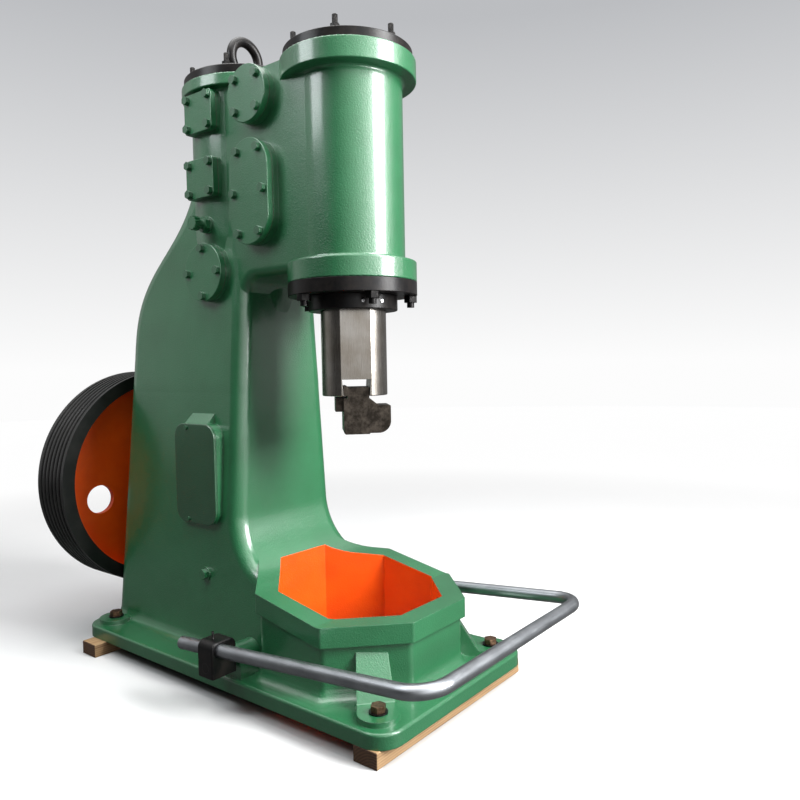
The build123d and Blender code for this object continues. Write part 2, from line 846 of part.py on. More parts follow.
def hex_screw(start, tip, head_height, across, radius):
    """Hexagon screw: its head stands outwards from the start point, its shank runs to the tip."""
    line = (Vector(start) - Vector(tip)).normalized()
    head_end = Vector(start) + line * head_height
    head = hexagon(start, head_end, across)
    head = head & bar(start, head_end, across * 0.56)
    return head + bar(start, tip, radius)


def side_cover_bolts():
    """Hexagon screws of the head's side covers."""
    tip = -side_face + side_screw_depth
    return group([hex_screw((x, cover_out, z), (x, tip, z), side_screw_head, side_screw_across,
                            side_screw) for x, z in side_screws()])


def crankcase_covers():
    """Tall covers on both sides of the crank chamber."""
    covers = []
    for side in (-1, 1):
        y0, y1 = side * crankcase_face, side * (crankcase_face + crankcase_cover)
        cover = side_plate(crankcase_cover_x, crankcase_cover_z, crankcase_cover_width,
                           crankcase_cover_height, crankcase_cover_corner, y0, y1)
        outer = cover.faces().sort_by(Axis.Y)[0 if side < 0 else -1]
        cover = fillet(outer.edges(), 3)
        for z in crankcase_screws():
            cover -= bar((crankcase_screw_x, y0 - side, z), (crankcase_screw_x, y1 + side, z),
                         small_screw + hole_clearance)
        covers.append(cover)
    return group(covers)


def crankcase_cover_screws():
    """Two small round-headed screws in each crankcase cover."""
    screws = []
    for side in (-1, 1):
        face = side * (crankcase_face + crankcase_cover)
        for z in crankcase_screws():
            x = crankcase_screw_x
            screws.append(bar((x, face, z), (x, face + side * 5, z), small_screw_head)
                          + bar((x, face, z), (x, face - side * (crankcase_cover + 14), z),
                                small_screw))
    return group(screws)


def ram_outline(clearance):
    """Level outline of the ram: a circle with two flats."""
    reach = ram_radius + clearance
    flat = ram_flat + clearance
    return Rot(0, 0, 45) * (Circle(reach) & Rectangle(2 * reach + 2, 2 * flat))


def ram_column(clearance, z0, z1):
    """Upright bar with the ram's outline."""
    return extrude(Pos(0, 0, z0) * ram_outline(clearance), z1 - z0)


def gland_flange():
    """Black flange bolted under the ram cylinder."""
    low = lower_flange_z - gland_flange_thickness
    flange = turned([(gland_bore, low), (lower_flange, low), (lower_flange, lower_flange_z),
                     (gland_bore, lower_flange_z)], 0, [0, 2, 1, 0])
    for x, y in gland_studs_xy():
        flange -= bar((x, y, low - 1), (x, y, lower_flange_z + 1), gland_stud_radius + hole_clearance)
    return flange


hub_top = lower_flange_z - gland_flange_thickness
hub_low = hub_top - hub_height
gland_screw_angles = (-36.0, -10.5)


def gland_hub():
    """Ring that presses the packing up against the bush."""
    hub = turned([(60, hub_low), (hub_radius, hub_low), (hub_radius, hub_top), (gland_bore, hub_top),
                  (gland_bore, hub_low + hub_lip), (60, hub_low + hub_lip)], 0, [0, 3, 1, 0, 0, 0])
    hub -= ram_column(1.0, hub_low - 1, hub_top + 1)
    z = hub_low + hub_height / 2
    for angle in gland_screw_angles:
        inner = polar(hub_radius - 10, angle)
        outer = polar(hub_radius + 4, angle)
        hub -= bar((*inner, z), (*outer, z), 5)
    return hub


def gland_screws():
    """Small locking screws in the hub."""
    z = hub_low + hub_height / 2
    screws = []
    for angle in gland_screw_angles:
        inner = polar(hub_radius - 10, angle)
        outer = polar(hub_radius + 3, angle)
        socket = polar(hub_radius - 2, angle)
        screws.append(bar((*inner, z), (*outer, z), 5) - hexagon((*socket, z), (*outer, z), 5))
    return group(screws)


def gland_studs_nuts():
    """Studs and nuts of the gland flange."""
    pieces = []
    for x, y in gland_studs_xy():
        stud = bar((x, y, hub_top - gland_stud_drop), (x, y, lower_flange_z + 28), gland_stud_radius)
        nut = hexagon((x, y, hub_top - gland_nut_height), (x, y, hub_top), gland_nut_across)
        pieces.append(stud + nut)
    return group(pieces)


bush_low = hub_top + 10
packing_low = hub_low + hub_lip


def ram_guide_bush():
    """Bronze bush with the ram's outline, so that the ram can't turn."""
    top = lower_flange_z + bush_rise
    bush = bar((0, 0, bush_low), (0, 0, top), gland_bore)
    return bush - ram_column(ram_clearance, bush_low - 1, top + 1)


def ram_packing():
    """Square packing rings between the hub's lip and the bush."""
    height = (bush_low - packing_low) / packing_count
    rings = []
    for i in range(packing_count):
        low = packing_low + i * height
        ring = bar((0, 0, low), (0, 0, low + height - 0.4), gland_bore - 0.2)
        rings.append(ring - ram_column(0.5, low - 1, low + height))
    return group(rings)


piston_low = lower_flange_z + ram_piston_lift
piston_top = piston_low + ram_piston_length
ring_width = 8.0
ring_depth = 7.0
ram_ring_tops = [piston_top - 25 - 26 * i for i in range(4)] + [piston_low + 40]


def dovetail(lower_half, upper_half, low, high, length):
    """Bar with a dovetail section that runs across the ram, below its flats."""
    corners = [(-lower_half, -length, low), (lower_half, -length, low), (upper_half, -length, high),
               (-upper_half, -length, high)]
    shape = extrude(make_face(Polyline(*corners, close=True)), amount=2 * length, dir=(0, 1, 0))
    return Rot(0, 0, 45) * shape


def ram():
    """Ram: flatted rod, piston with ring grooves and dovetail slot for the die."""
    body = ram_column(0, ram_low, piston_low + 10)
    body = chamfer(body.faces().sort_by(Axis.Z)[0].edges(), 2)
    body += bar((0, 0, piston_low), (0, 0, piston_top), ram_bore - piston_clearance)
    body -= dovetail(slot_half, slot_top_half, ram_low - 1, ram_low + slot_height, ram_radius + 10)
    for top in ram_ring_tops:
        body -= pipe((0, 0, top - ring_width), (0, 0, top), ram_bore, ram_bore - ring_depth)
    return body


def split_rings(x, bore, tops):
    """Piston rings with a narrow gap."""
    rings = []
    for top in tops:
        ring = pipe((x, 0, top - ring_width), (x, 0, top), bore - 0.06, bore - ring_depth)
        rings.append(ring - block(x, x + bore + 5, -1.0, 1.0, top - ring_width - 1, top + 1))
    return group(rings)


def top_die():
    """Top die: dovetail tenon, body with a rounded working edge and a low shoulder."""
    root_low = ram_low + 0.2
    tenon_top = ram_low + slot_height - 24
    flank = slot_half + 4 * (slot_top_half - slot_half) / slot_height
    corners = [(-slot_half + key_width, -74, root_low - 30), (slot_half - 0.3, -74, root_low - 30),
               (slot_half - 0.3, -74, root_low), (flank, -74, tenon_top),
               (-slot_half + key_width, -74, tenon_top)]
    die = extrude(make_face(Polyline(*corners, close=True)), amount=146, dir=(0, 1, 0))
    front = FilletPolyline((-slot_half, -74, die_face), (slot_half + 30, -74, die_face),
                           (slot_half + 30, -74, ram_low - 30), (slot_half, -74, ram_low - 6),
                           (-slot_half, -74, ram_low - 6), close=True, radius=[7, 26, 0, 0, 0])
    nose = extrude(make_face(front), amount=146, dir=(0, 1, 0))
    nose -= block(slot_half, slot_half + 60, -80, -44, die_face - 1, ram_low)
    wing = FilletPolyline((-slot_half + 5, -44, die_face), (104, -44, die_face),
                          (104, -44, die_face + 83), (-slot_half + 5, -44, die_face + 83),
                          close=True, radius=[0, 36, 4, 0])
    body = nose + extrude(make_face(wing), amount=110, dir=(0, 1, 0))
    body += block(-61, -slot_half + 5, -44, 60, ram_low - 47, ram_low - 6)
    return Rot(0, 0, 45) * (body + die)


def die_key():
    """Taper key that wedges the tenon in the slot."""
    low, high = ram_low + 1, ram_low + slot_height - 20
    corners = [(-slot_half, -88, low), (-slot_half + key_width, -88, low),
               (-slot_half + key_width, -88, high), (-slot_half, -88, high)]
    key = extrude(make_face(Polyline(*corners, close=True)), amount=172, dir=(0, 1, 0))
    return Rot(0, 0, 45) * key


piston_roof = gudgeon_z + piston_above_pin
piston_skirt = gudgeon_z - piston_below_pin
compressor_ring_tops = [piston_roof - 22 - 24 * i for i in range(4)] + [gudgeon_z - 40]


def compressor_piston():
    """Hollow trunk piston of the compressor."""
    x = compressor_x
    radius = compressor_bore - piston_clearance
    body = bar((x, 0, piston_skirt), (x, 0, piston_roof), radius)
    body -= bar((x, 0, piston_skirt - 1), (x, 0, piston_roof - 26), radius - 22)
    for side in (-1, 1):
        body += bar((x + side * (radius - 4), 0, gudgeon_z), (x + side * (rod_half + 6), 0, gudgeon_z),
                    gudgeon_radius + 16) & bar((x, 0, piston_skirt), (x, 0, piston_roof), radius)
    body -= bar((x - radius - 5, 0, gudgeon_z), (x + radius + 5, 0, gudgeon_z), gudgeon_radius)
    for top in compressor_ring_tops:
        body -= pipe((x, 0, top - ring_width), (x, 0, top), compressor_bore, compressor_bore - ring_depth)
    return body


def gudgeon_pin():
    """Hollow pin through piston and small end."""
    reach = compressor_bore - 14
    x = compressor_x
    return pipe((x - reach, 0, gudgeon_z), (x + reach, 0, gudgeon_z), gudgeon_radius, 11)


def rod_bar(z, y, radius, half):
    """Bar along X, centred on the connecting rod."""
    return bar((compressor_x - half, y, z), (compressor_x + half, y, z), radius)


def connecting_rod():
    """Connecting rod: small end, I-section shank and the upper half of the big end."""
    low, high = crank_pin_z, gudgeon_z
    rod = rod_bar(high, 0, small_end_radius, rod_half) + rod_bar(low, 0, big_end_radius, rod_half)
    plan = Polyline((compressor_x - 20, -32, low), (compressor_x - 20, 32, low),
                    (compressor_x - 20, 24, high), (compressor_x - 20, -24, high), close=True)
    rod += extrude(make_face(plan), amount=40, dir=(1, 0, 0))
    web = Polyline((compressor_x - 21, -18, low + 90), (compressor_x - 21, 18, low + 90),
                   (compressor_x - 21, 13, high - 70), (compressor_x - 21, -13, high - 70), close=True)
    for x in (0, 30):
        rod -= Pos(x, 0, 0) * extrude(make_face(web), amount=13, dir=(1, 0, 0))
    for side in (-1, 1):
        y0, y1 = sorted((side * 42, side * big_end_radius))
        rod += block(compressor_x - 26, compressor_x + 26, y0, y1, low, low + 34)
        rod -= block(compressor_x - 31, compressor_x + 31, min(side * 41, side * 80),
                     max(side * 41, side * 80), low + 34, low + 90)
        rod -= bar((compressor_x, side * 54, low - 1), (compressor_x, side * 54, low + 35), 8)
    rod -= rod_bar(low, 0, crank_pin_radius + rod_shell, rod_half + 1)
    rod -= rod_bar(high, 0, gudgeon_radius + rod_shell, rod_half + 1)
    return rod - block(compressor_x - 60, compressor_x + 60, -90, 90, low - 90, low)


def big_end_cap():
    """Lower half of the big end."""
    low = crank_pin_z
    cap = rod_bar(low, 0, big_end_radius, rod_half)
    for side in (-1, 1):
        y0, y1 = sorted((side * 42, side * big_end_radius))
        cap += block(compressor_x - 26, compressor_x + 26, y0, y1, low - 30, low)
        cap -= bar((compressor_x, side * 54, low - 80), (compressor_x, side * 54, low + 1), 8)
        cap -= block(compressor_x - 31, compressor_x + 31, min(side * 41, side * 80),
                     max(side * 41, side * 80), low - 80, low - 30)
    cap -= rod_bar(low, 0, crank_pin_radius + rod_shell, rod_half + 1)
    return cap - block(compressor_x - 60, compressor_x + 60, -90, 90, low, low + 90)


def big_end_bolts():
    """Two bolts that hold the cap, with nuts on top."""
    bolts = []
    for side in (-1, 1):
        x, y, z = compressor_x, side * 54, crank_pin_z
        bolt = bar((x, y, z - 30), (x, y, z + 50), 8) + hexagon((x, y, z - 40), (x, y, z - 30), 22)
        bolts.append(bolt + hexagon((x, y, z + 34), (x, y, z + 46), 22))
    return group(bolts)


def big_end_bush():
    """Two white metal shells."""
    shell = rod_bar(crank_pin_z, 0, crank_pin_radius + rod_shell, rod_half) - rod_bar(
        crank_pin_z, 0, crank_pin_radius, rod_half + 1)
    cutter = block(compressor_x - 60, compressor_x + 60, -90, 90, crank_pin_z, crank_pin_z + 90)
    return group([shell & cutter, shell - cutter])


def small_end_bush():
    """Bronze bush on the gudgeon pin, with a running fit."""
    return rod_bar(gudgeon_z, 0, gudgeon_radius + rod_shell, rod_half) - rod_bar(
        gudgeon_z, 0, gudgeon_radius + shaft_clearance, rod_half + 1)


disc_front = compressor_x - rod_half - 4 - pin_gap


def crank_pin():
    """Crank pin, held in the big end; the pivot is opened at the disc's face."""
    z = crank_pin_z
    x = compressor_x
    pin = bar((x - rod_half - 4, 0, z), (x + rod_half + 10, 0, z), crank_pin_radius)
    return pin + bar((x + rod_half, 0, z), (x + rod_half + 10, 0, z), crank_pin_radius + 8)


disc_rear = disc_front - crank_disc
housing_front = disc_rear - 26
seal_length = 14.0


def crankshaft():
    """Crank disc and stepped shaft with the pulley's keyway."""
    disc = bar((disc_front, 0, crank_z), (disc_rear, 0, crank_z), crank_disc_radius)
    disc = chamfer(disc.edges().filter_by(GeomType.CIRCLE), 4)
    shaft = bar((disc_rear, 0, crank_z), (housing_front, 0, crank_z), shaft_radius + 14)
    shaft += bar((housing_front, 0, crank_z), (pulley_front, 0, crank_z), shaft_radius)
    shaft += bar((pulley_front, 0, crank_z), (hub_rear, 0, crank_z), pulley_seat_radius)
    z = crank_z + pulley_seat_radius
    shaft -= block(hub_rear + 12, pulley_front - 8, -9, 9, z - 9, z + 1)
    shaft -= bar((hub_rear + 42, 0, crank_z), (hub_rear - 1, 0, crank_z), 8)
    return disc + shaft


def pulley():
    """Six-groove belt pulley: rim, recessed web with round holes, hub with keyway."""
    centre = (pulley_front + pulley_rear) / 2
    first = centre + groove_pitch * (groove_count - 1) / 2
    floor = pulley_radius - groove_depth
    outline = [(pulley_rim_inner, pulley_front), (pulley_radius, pulley_front)]
    for i in range(groove_count):
        middle = first - i * groove_pitch
        outline += [(pulley_radius, middle + groove_width / 2), (floor, middle + groove_width / 4),
                    (floor, middle - groove_width / 4), (pulley_radius, middle - groove_width / 2)]
    outline += [(pulley_radius, pulley_rear), (pulley_rim_inner, pulley_rear)]
    web_front = pulley_front - pulley_recess
    web_rear = web_front - pulley_web
    outline += [(pulley_rim_inner, web_rear), (pulley_hub, web_rear), (pulley_hub, hub_rear),
                (pulley_seat_radius, hub_rear), (pulley_seat_radius, pulley_front),
                (pulley_hub, pulley_front), (pulley_hub, web_front), (pulley_rim_inner, web_front)]
    corners = [(x, 0, r) for r, x in outline]
    wheel = revolve(make_face(Polyline(*corners, close=True)), Axis.X)
    for i in range(web_hole_count):
        y, z = polar(web_hole_pitch, web_hole_phase + 360 / web_hole_count * i)
        wheel -= bar((web_front + 1, y, z), (web_rear - 1, y, z), web_hole)
    seat = pulley_seat_radius
    wheel -= block(hub_rear - 1, pulley_front + 1, -9, 9, seat - 12, seat + 6)
    return Pos(0, 0, crank_z) * wheel


def pulley_key():
    """Sunk key between shaft and pulley."""
    z = crank_z + pulley_seat_radius
    return block(hub_rear + 12, pulley_front - 8, -9, 9, z - 9, z + 5)


def pulley_end_plate():
    """Plate and screw that hold the pulley on the shaft."""
    x = hub_rear
    plate = bar((x, 0, crank_z), (x - 8, 0, crank_z), pulley_seat_radius + 14)
    plate += hexagon((x - 8, 0, crank_z), (x - 17, 0, crank_z), 24)
    return plate + bar((x - 8, 0, crank_z), (x + 30, 0, crank_z), 8)


def bearing_housing():
    """Flanged sleeve that carries the crankshaft's two bushes."""
    outer = bar((housing_front - 6, 0, crank_z), (housing_face, 0, crank_z), housing_radius)
    flange_x = housing_face - housing_flange_thickness
    outer += bar((housing_face, 0, crank_z), (flange_x, 0, crank_z), housing_flange)
    inner = bar((housing_front, 0, crank_z), (flange_x - 1, 0, crank_z),
                shaft_radius + bearing_wall)
    housing = outer - inner
    for y, z in housing_bolts_yz():
        housing -= bar((flange_x - 1, y, z), (housing_face + 1, y, z), side_screw + hole_clearance)
    return housing


def crankshaft_bushes():
    """Plain bushes at both ends of the housing."""
    flange_x = housing_face - housing_flange_thickness
    bushes = []
    for start in (housing_front - 6, flange_x + seal_length + bearing_length):
        bushes.append(pipe((start, 0, crank_z), (start - bearing_length, 0, crank_z),
                           shaft_radius + bearing_wall, shaft_radius + shaft_clearance))
    return group(bushes)


def shaft_seal():
    """Felt ring at the pulley side."""
    x = housing_face - housing_flange_thickness
    return pipe((x + seal_length, 0, crank_z), (x, 0, crank_z), shaft_radius + bearing_wall,
                shaft_radius + 0.5)


def bearing_housing_bolts():
    """Flat-headed screws of the bearing housing."""
    face = housing_face - housing_flange_thickness
    return group([bar((face, y, z), (face - 5, y, z), 11) + bar((face, y, z), (face + 51, y, z),
                                                                side_screw)
                  for y, z in housing_bolts_yz()])


def oil_fitting():
    """Hexagonal oil union with a knurled cap."""
    x, z, y = oil_x, oil_z, -rear_barrel - 6
    body = bar((x, y + 30, z), (x, y, z), 12)
    body += hexagon((x, y, z), (x, y - 18, z), 44)
    body += bar((x, y - 18, z), (x, y - 34, z), 15)
    cap = bar((x, y - 34, z), (x, y - 56, z), 22)
    for i in range(12):
        dx, dz = polar(22, 30 * i, x, z)
        cap -= bar((dx, y - 35, dz), (dx, y - 57, dz), 3)
    return body + cap


def drain_plug():
    """Hexagonal plug low on the column's side."""
    y = -column_half(drain_z) - 5
    plug = hexagon((drain_x, y, drain_z), (drain_x, y - 14, drain_z), 30)
    return plug + bar((drain_x, y, drain_z), (drain_x, y + 20, drain_z), 10)


def valve_caps():
    """Far-side caps with the spindle bores."""
    caps = []
    for z in (upper_valve_z, lower_valve_z):
        cap = bar((valve_x, side_face, z), (valve_x, side_face + valve_cap, z), valve_cap_radius)
        cap = fillet(cap.faces().sort_by(Axis.Y)[-1].edges(), 3)
        cap += bar((valve_x, side_face - 12, z), (valve_x, side_face, z), valve_bore - 0.1)
        cap += bar((valve_x, side_face + valve_cap, z), (valve_x, cap_end, z), 26)
        cap -= bar((valve_x, side_face - 13, z), (valve_x, cap_end + 1, z),
                   spindle_radius + valve_clearance)
        for x, sz in cap_screws():
            cap -= bar((x, side_face - 1, sz), (x, side_face + valve_cap + 1, sz),
                       side_screw + hole_clearance)
        caps.append(cap)
    return group(caps)


def valve_cap_screws():
    """Hexagon screws of the valve caps."""
    start, tip = side_face + valve_cap, side_face - side_screw_depth
    return group([hex_screw((x, start, z), (x, tip, z), side_screw_head, side_screw_across, side_screw)
                  for x, z in cap_screws()])



def spool(z):
    """Rotary valve spool with a through port, and its spindle."""
    body = bar((valve_x, -spool_half, z), (valve_x, side_face - 14, z), valve_bore - valve_clearance)
    body -= bar((valve_x - valve_bore - 1, 0, z), (valve_x + valve_bore + 1, 0, z), passage_radius - 4)
    return body + bar((valve_x, side_face - 14, z), (valve_x, lever_y + lever_thickness + 4, z),
                      spindle_radius)


def lever_plate(x0, z0, x1, z1, radius0, radius1):
    """Flat lever with round ends, in the lever plane."""
    y0, y1 = lever_y, lever_y + lever_thickness
    shape = bar((x0, y0, z0), (x0, y1, z0), radius0) + bar((x1, y0, z1), (x1, y1, z1), radius1)
    span = math.hypot(x1 - x0, z1 - z0)
    nx, nz = -(z1 - z0) / span, (x1 - x0) / span
    corners = [(x0 + nx * radius1, y0, z0 + nz * radius1), (x1 + nx * radius1, y0, z1 + nz * radius1),
               (x1 - nx * radius1, y0, z1 - nz * radius1), (x0 - nx * radius1, y0, z0 - nz * radius1)]
    return shape + extrude(make_face(Polyline(*corners, close=True)), amount=lever_thickness,
                           dir=(0, 1, 0))


rod_pin_x = valve_x - lever_arm


def lower_valve():
    """Lower valve with its two-armed lever, the link pin and the spring pin."""
    z = lower_valve_z
    valve = spool(z)
    valve += lever_plate(valve_x, z, rod_pin_x, z, 28, 14)
    valve += lever_plate(valve_x, z, spring_x, z, 28, 12)
    valve += bar((rod_pin_x, lever_y, z), (rod_pin_x, push_rod_top_y + 14, z), link_pin_radius)
    valve += bar((spring_x, lever_y, z), (spring_x, spring_y + 6, z), spring_pin_radius)
    return valve + bar((spring_x, spring_y + 6, z), (spring_x, spring_y + 8, z), 9)


def upper_valve():
    """Upper valve with its hanging hand lever and ball knob."""
    z = upper_valve_z
    low = z - hand_lever_length
    valve = spool(z) + lever_plate(valve_x, z, valve_x, z - 60, 26, 12)
    y = lever_y + lever_thickness / 2
    valve += bar((valve_x, y, z - 55), (valve_x, y, low), 7)
    return valve + Pos(valve_x, y, low) * Sphere(17)


# Treadle

treadle_slope = treadle_rise / (treadle_front - treadle_pivot_x)


def treadle_z(x):
    """Height of the treadle bar's centre line at X."""
    return bar_z + treadle_slope * (x - treadle_pivot_x)


leg_end = link_x + link_lug_length


def treadle_bar():
    """Bent bar round the front of the base."""
    rear = treadle_pivot_x - 143.0
    path = FilletPolyline(
        (rear, -treadle_half, treadle_z(rear)),
        (treadle_front, -treadle_half, treadle_z(treadle_front)),
        (treadle_front, treadle_half, treadle_z(treadle_front)),
        (leg_end, treadle_half, treadle_z(leg_end)), radius=treadle_bend)
    start = Plane(origin=path @ 0, z_dir=path % 0)
    wall = Circle(treadle_bar_radius) - Circle(treadle_bar_radius - treadle_bar_wall)
    return sweep(start * wall, path=path)


def treadle_clamps():
    """Clamp blocks that hold the bar and turn on the stub pins."""
    blocks = []
    x, half = treadle_pivot_x, clamp_half_length
    low = treadle_pivot_z - 27
    top = bar_z + treadle_bar_radius + 10
    for side in (-1, 1):
        y0, y1 = sorted((side * clamp_inner, side * clamp_outer))
        clamp = block(x - half, x + half, y0, y1, low, top)
        upper = [e for e in clamp.edges().filter_by(Axis.X) if e.center().Z > top - 1]
        clamp = fillet(upper, 22)
        clamp = fillet(clamp.edges().filter_by(Axis.Z), 5)
        clamp -= bar((x - 60, side * treadle_half, treadle_z(x - 60)),
                     (x + 60, side * treadle_half, treadle_z(x + 60)),
                     treadle_bar_radius + shaft_clearance)
        clamp -= bar((x, side * (clamp_inner - 1), treadle_pivot_z),
                     (x, side * (clamp_outer + 1), treadle_pivot_z), pivot_pin_radius + shaft_clearance)
        clamp -= bar((x, side * treadle_half, bar_z), (x, side * treadle_half, top + 1), set_screw)
        blocks.append(clamp)
    return group(blocks)


def treadle_set_screws():
    """Set screws on top of the clamps."""
    screws = []
    top = bar_z + treadle_bar_radius + 10
    low = bar_z + treadle_bar_radius * math.hypot(1, treadle_slope) + set_screw * treadle_slope
    for side in (-1, 1):
        x, y = treadle_pivot_x, side * treadle_half
        screws.append(bar((x, y, low), (x, y, top), set_screw)
                      + bar((x, y, top), (x, y, top + 22), set_screw_point))
    return group(screws)


def treadle_pivot_pins():
    """Stub pins that stand out of the base's lugs."""
    return group([bar((treadle_pivot_x, side * (lug_inner + 8), treadle_pivot_z),
                      (treadle_pivot_x, side * clamp_outer, treadle_pivot_z), pivot_pin_radius)
                  for side in (-1, 1)])


link_z = treadle_z(link_x)


def treadle_link_lug():
    """Flat eye on the far leg's end."""
    y0 = treadle_half - link_eye_thickness / 2
    y1 = treadle_half + link_eye_thickness / 2
    low, high = link_z - 17, link_z + 17
    lug = block(link_x, leg_end, y0, y1, low, high) + bar((link_x, y0, link_z), (link_x, y1, link_z), 17)
    end = bar((leg_end, treadle_half, treadle_z(leg_end)),
              (leg_end + 60, treadle_half, treadle_z(leg_end + 60)), treadle_bar_radius + 5)
    lug -= bar((link_x, y0 - 1, link_z), (link_x, y1 + 1, link_z), link_pin_radius + shaft_clearance)
    return lug - end


def push_rod():
    """Cranked rod: fork and pin at the treadle, eye at the valve lever."""
    fork_half = link_eye_thickness / 2 + 0.5
    y = treadle_half
    outer = fork_half + 9
    fork = block(link_x - 16, link_x + 16, y - outer, y + outer, link_z, link_z + 52)
    for side in (-1, 1):
        fork += bar((link_x, y + side * fork_half, link_z), (link_x, y + side * outer, link_z), 16)
    fork -= block(link_x - 20, link_x + 20, y - fork_half, y + fork_half, link_z - 20, link_z + 28)
    pin = bar((link_x, y - outer - 4, link_z), (link_x, y + outer + 4, link_z), link_pin_radius)
    path = FilletPolyline(
        (link_x, y, link_z + 50), (link_x, y, link_z + push_rod_foot),
        (rod_pin_x, push_rod_top_y, lower_valve_z - push_rod_head),
        (rod_pin_x, push_rod_top_y, lower_valve_z - 12), radius=60)
    shank = sweep(Plane(origin=path @ 0, z_dir=path % 0) * Circle(push_rod_radius), path=path)
    eye = bar((rod_pin_x, push_rod_top_y - 10, lower_valve_z),
              (rod_pin_x, push_rod_top_y + 10, lower_valve_z), 18)
    rod = fork + pin + shank + eye
    return rod - bar((rod_pin_x, push_rod_top_y - 11, lower_valve_z),
                     (rod_pin_x, push_rod_top_y + 11, lower_valve_z),
                     link_pin_radius + open_pivot_clearance)


def spring_hook():
    """Screwed hook on the far side of the head, above the lever's front arm."""
    z = spring_hook_z
    hook = bar((spring_x, chest_half_width - 25, z), (spring_x, chest_half_width, z), 6)
    hook += bar((spring_x, chest_half_width, z), (spring_x, chest_half_width + 8, z), 14)
    hook += bar((spring_x, chest_half_width + 8, z), (spring_x, spring_y + 8, z), spring_pin_radius)
    return hook + bar((spring_x, spring_y + 8, z), (spring_x, spring_y + 11, z), 9)


def biarc(start, leave, end, arrive):
    """Two tangent arcs from one point and direction to another."""
    leave, arrive = leave.normalized(), arrive.normalized()
    chord = end - start
    both = leave + arrive
    a = both.dot(both) - 4
    b = -2 * chord.dot(both)
    c = chord.dot(chord)
    reach = -c / b if abs(a) < 1e-9 else (-b - math.sqrt(b * b - 4 * a * c)) / (2 * a)
    first = start + leave * reach
    second = end - arrive * reach
    joint = (first + second) / 2
    return [Edge.make_tangent_arc(start, leave, joint),
            Edge.make_tangent_arc(joint, second - first, end)]


def spring_spots():
    """Points of the wire's centre line with their directions, from the lower hook to the upper."""
    up = Vector(0, 0, 1)
    eye = spring_pin_radius + spring_wire + 0.4
    bend = spring_end - 34
    x, y = spring_x, spring_y
    low, high = lower_valve_z, spring_hook_z
    tip = math.radians(50)
    tip_x, tip_z = eye * math.cos(tip), eye * math.sin(tip)
    side = Vector(math.sin(tip), 0, -math.cos(tip))
    spots = [(Vector(x + tip_x, y, low + tip_z), side), (Vector(x + eye, y, low), -up),
             (Vector(x, y, low - eye), Vector(-1, 0, 0)), (Vector(x - eye, y, low), up),
             (Vector(x, y, low + spring_end - bend), up)]
    steps = spring_turns * 4
    start = low + spring_end
    climb = (high - spring_end - start) / steps
    run = spring_radius * math.pi / 2
    for i in range(steps + 1):
        angle = math.pi / 2 * i + math.pi
        spots.append((Vector(x + spring_radius * math.cos(angle),
                             y + spring_radius * math.sin(angle), start + climb * i),
                      Vector(-math.sin(angle) * run, math.cos(angle) * run, climb)))
    side = Vector(-math.sin(tip), 0, -math.cos(tip))
    spots += [(Vector(x, y, high - spring_end + bend), up), (Vector(x - eye, y, high), up),
              (Vector(x, y, high + eye), Vector(1, 0, 0)), (Vector(x + eye, y, high), -up),
              (Vector(x + tip_x, y, high - tip_z), side)]
    return spots


def return_spring():
    """Tension spring of round wire with a hook at each end, as one unbroken tube."""
    spots = spring_spots()
    edges = []
    for (start, leave), (end, arrive) in zip(spots, spots[1:]):
        edges += biarc(start, leave, end, arrive)
    points = []
    travelled = 0.0
    for edge in edges:
        for share in (0.0, 0.25, 0.5, 0.75):
            points.append((edge @ share, travelled + share * edge.length))
        travelled += edge.length
    least = min((p - q).length for i, (p, s) in enumerate(points) for q, t in points[i + 1:]
                if t - s > 8 * spring_wire)
    print("least gap of the spring to itself:", round(least - 2 * spring_wire, 2), "mm")
    path = Wire(edges)
    return sweep(Plane(origin=path @ 0, z_dir=path % 0) * Circle(spring_wire), path=path)


# Timber bearers and their bolts


def skid(x, half_length):
    """Squared timber under the base, with bolt holes."""
    timber = block(x - skid_width / 2, x + skid_width / 2, -half_length, half_length, 0, skid_height)
    timber = chamfer(timber.edges(), 2)
    for bolt_x, y in corner_bolts():
        if abs(bolt_x - x) < skid_width:
            timber -= bar((bolt_x, y, -1), (bolt_x, y, skid_height + 1), base_bolt + hole_clearance)
    return timber


def base_bolts():
    """Four bolts that hold base and bearers together."""
    top = base_top + boss_height + washer
    bolts = []
    for x, y in corner_bolts():
        head = hexagon((x, y, top), (x, y, top + base_bolt_head), base_bolt_across)
        bolts.append(head + bar((x, y, 6), (x, y, top), base_bolt))
    return group(bolts)


def base_washers():
    """Round washers under the bolt heads."""
    low = base_top + boss_height
    return group([pipe((x, y, low), (x, y, low + washer), washer_radius, base_bolt + hole_clearance)
                  for x, y in corner_bolts()])


os.makedirs("parts", exist_ok=True)
save("frame_casting", frame_casting())
save("front_cylinder_cover", cylinder_cover(0, cylinder_top, front_cover_radius, ram_bore))
save("rear_cylinder_cover",
     cylinder_cover(compressor_x, rear_top, rear_cover_radius, compressor_bore, eye_rod))
save("cylinder_cover_gaskets", cover_gaskets())
save("cover_studs", cover_studs())
save("cover_nuts", cover_nuts())
save("lifting_eye", lifting_eye())
save("upper_round_cover", upper_round_cover())
save("oblong_cover", oblong_cover())
save("square_covers", square_covers())
save("lower_round_cover", lower_round_cover())
save("side_cover_gaskets", side_cover_gaskets())
save("side_cover_bolts", side_cover_bolts())
save("crankcase_covers", crankcase_covers())
save("crankcase_cover_screws", crankcase_cover_screws())
save("gland_flange", gland_flange())
save("gland_hub", gland_hub())
save("gland_studs_nuts", gland_studs_nuts())
save("gland_screws", gland_screws())
save("ram_guide_bush", ram_guide_bush())
save("ram_packing", ram_packing())
save("bearing_housing", bearing_housing())
save("crankshaft_bushes", crankshaft_bushes())
save("bearing_housing_bolts", bearing_housing_bolts())
save("shaft_seal", shaft_seal())
save("oil_fitting", oil_fitting())
save("drain_plug", drain_plug())
save("valve_caps", valve_caps())
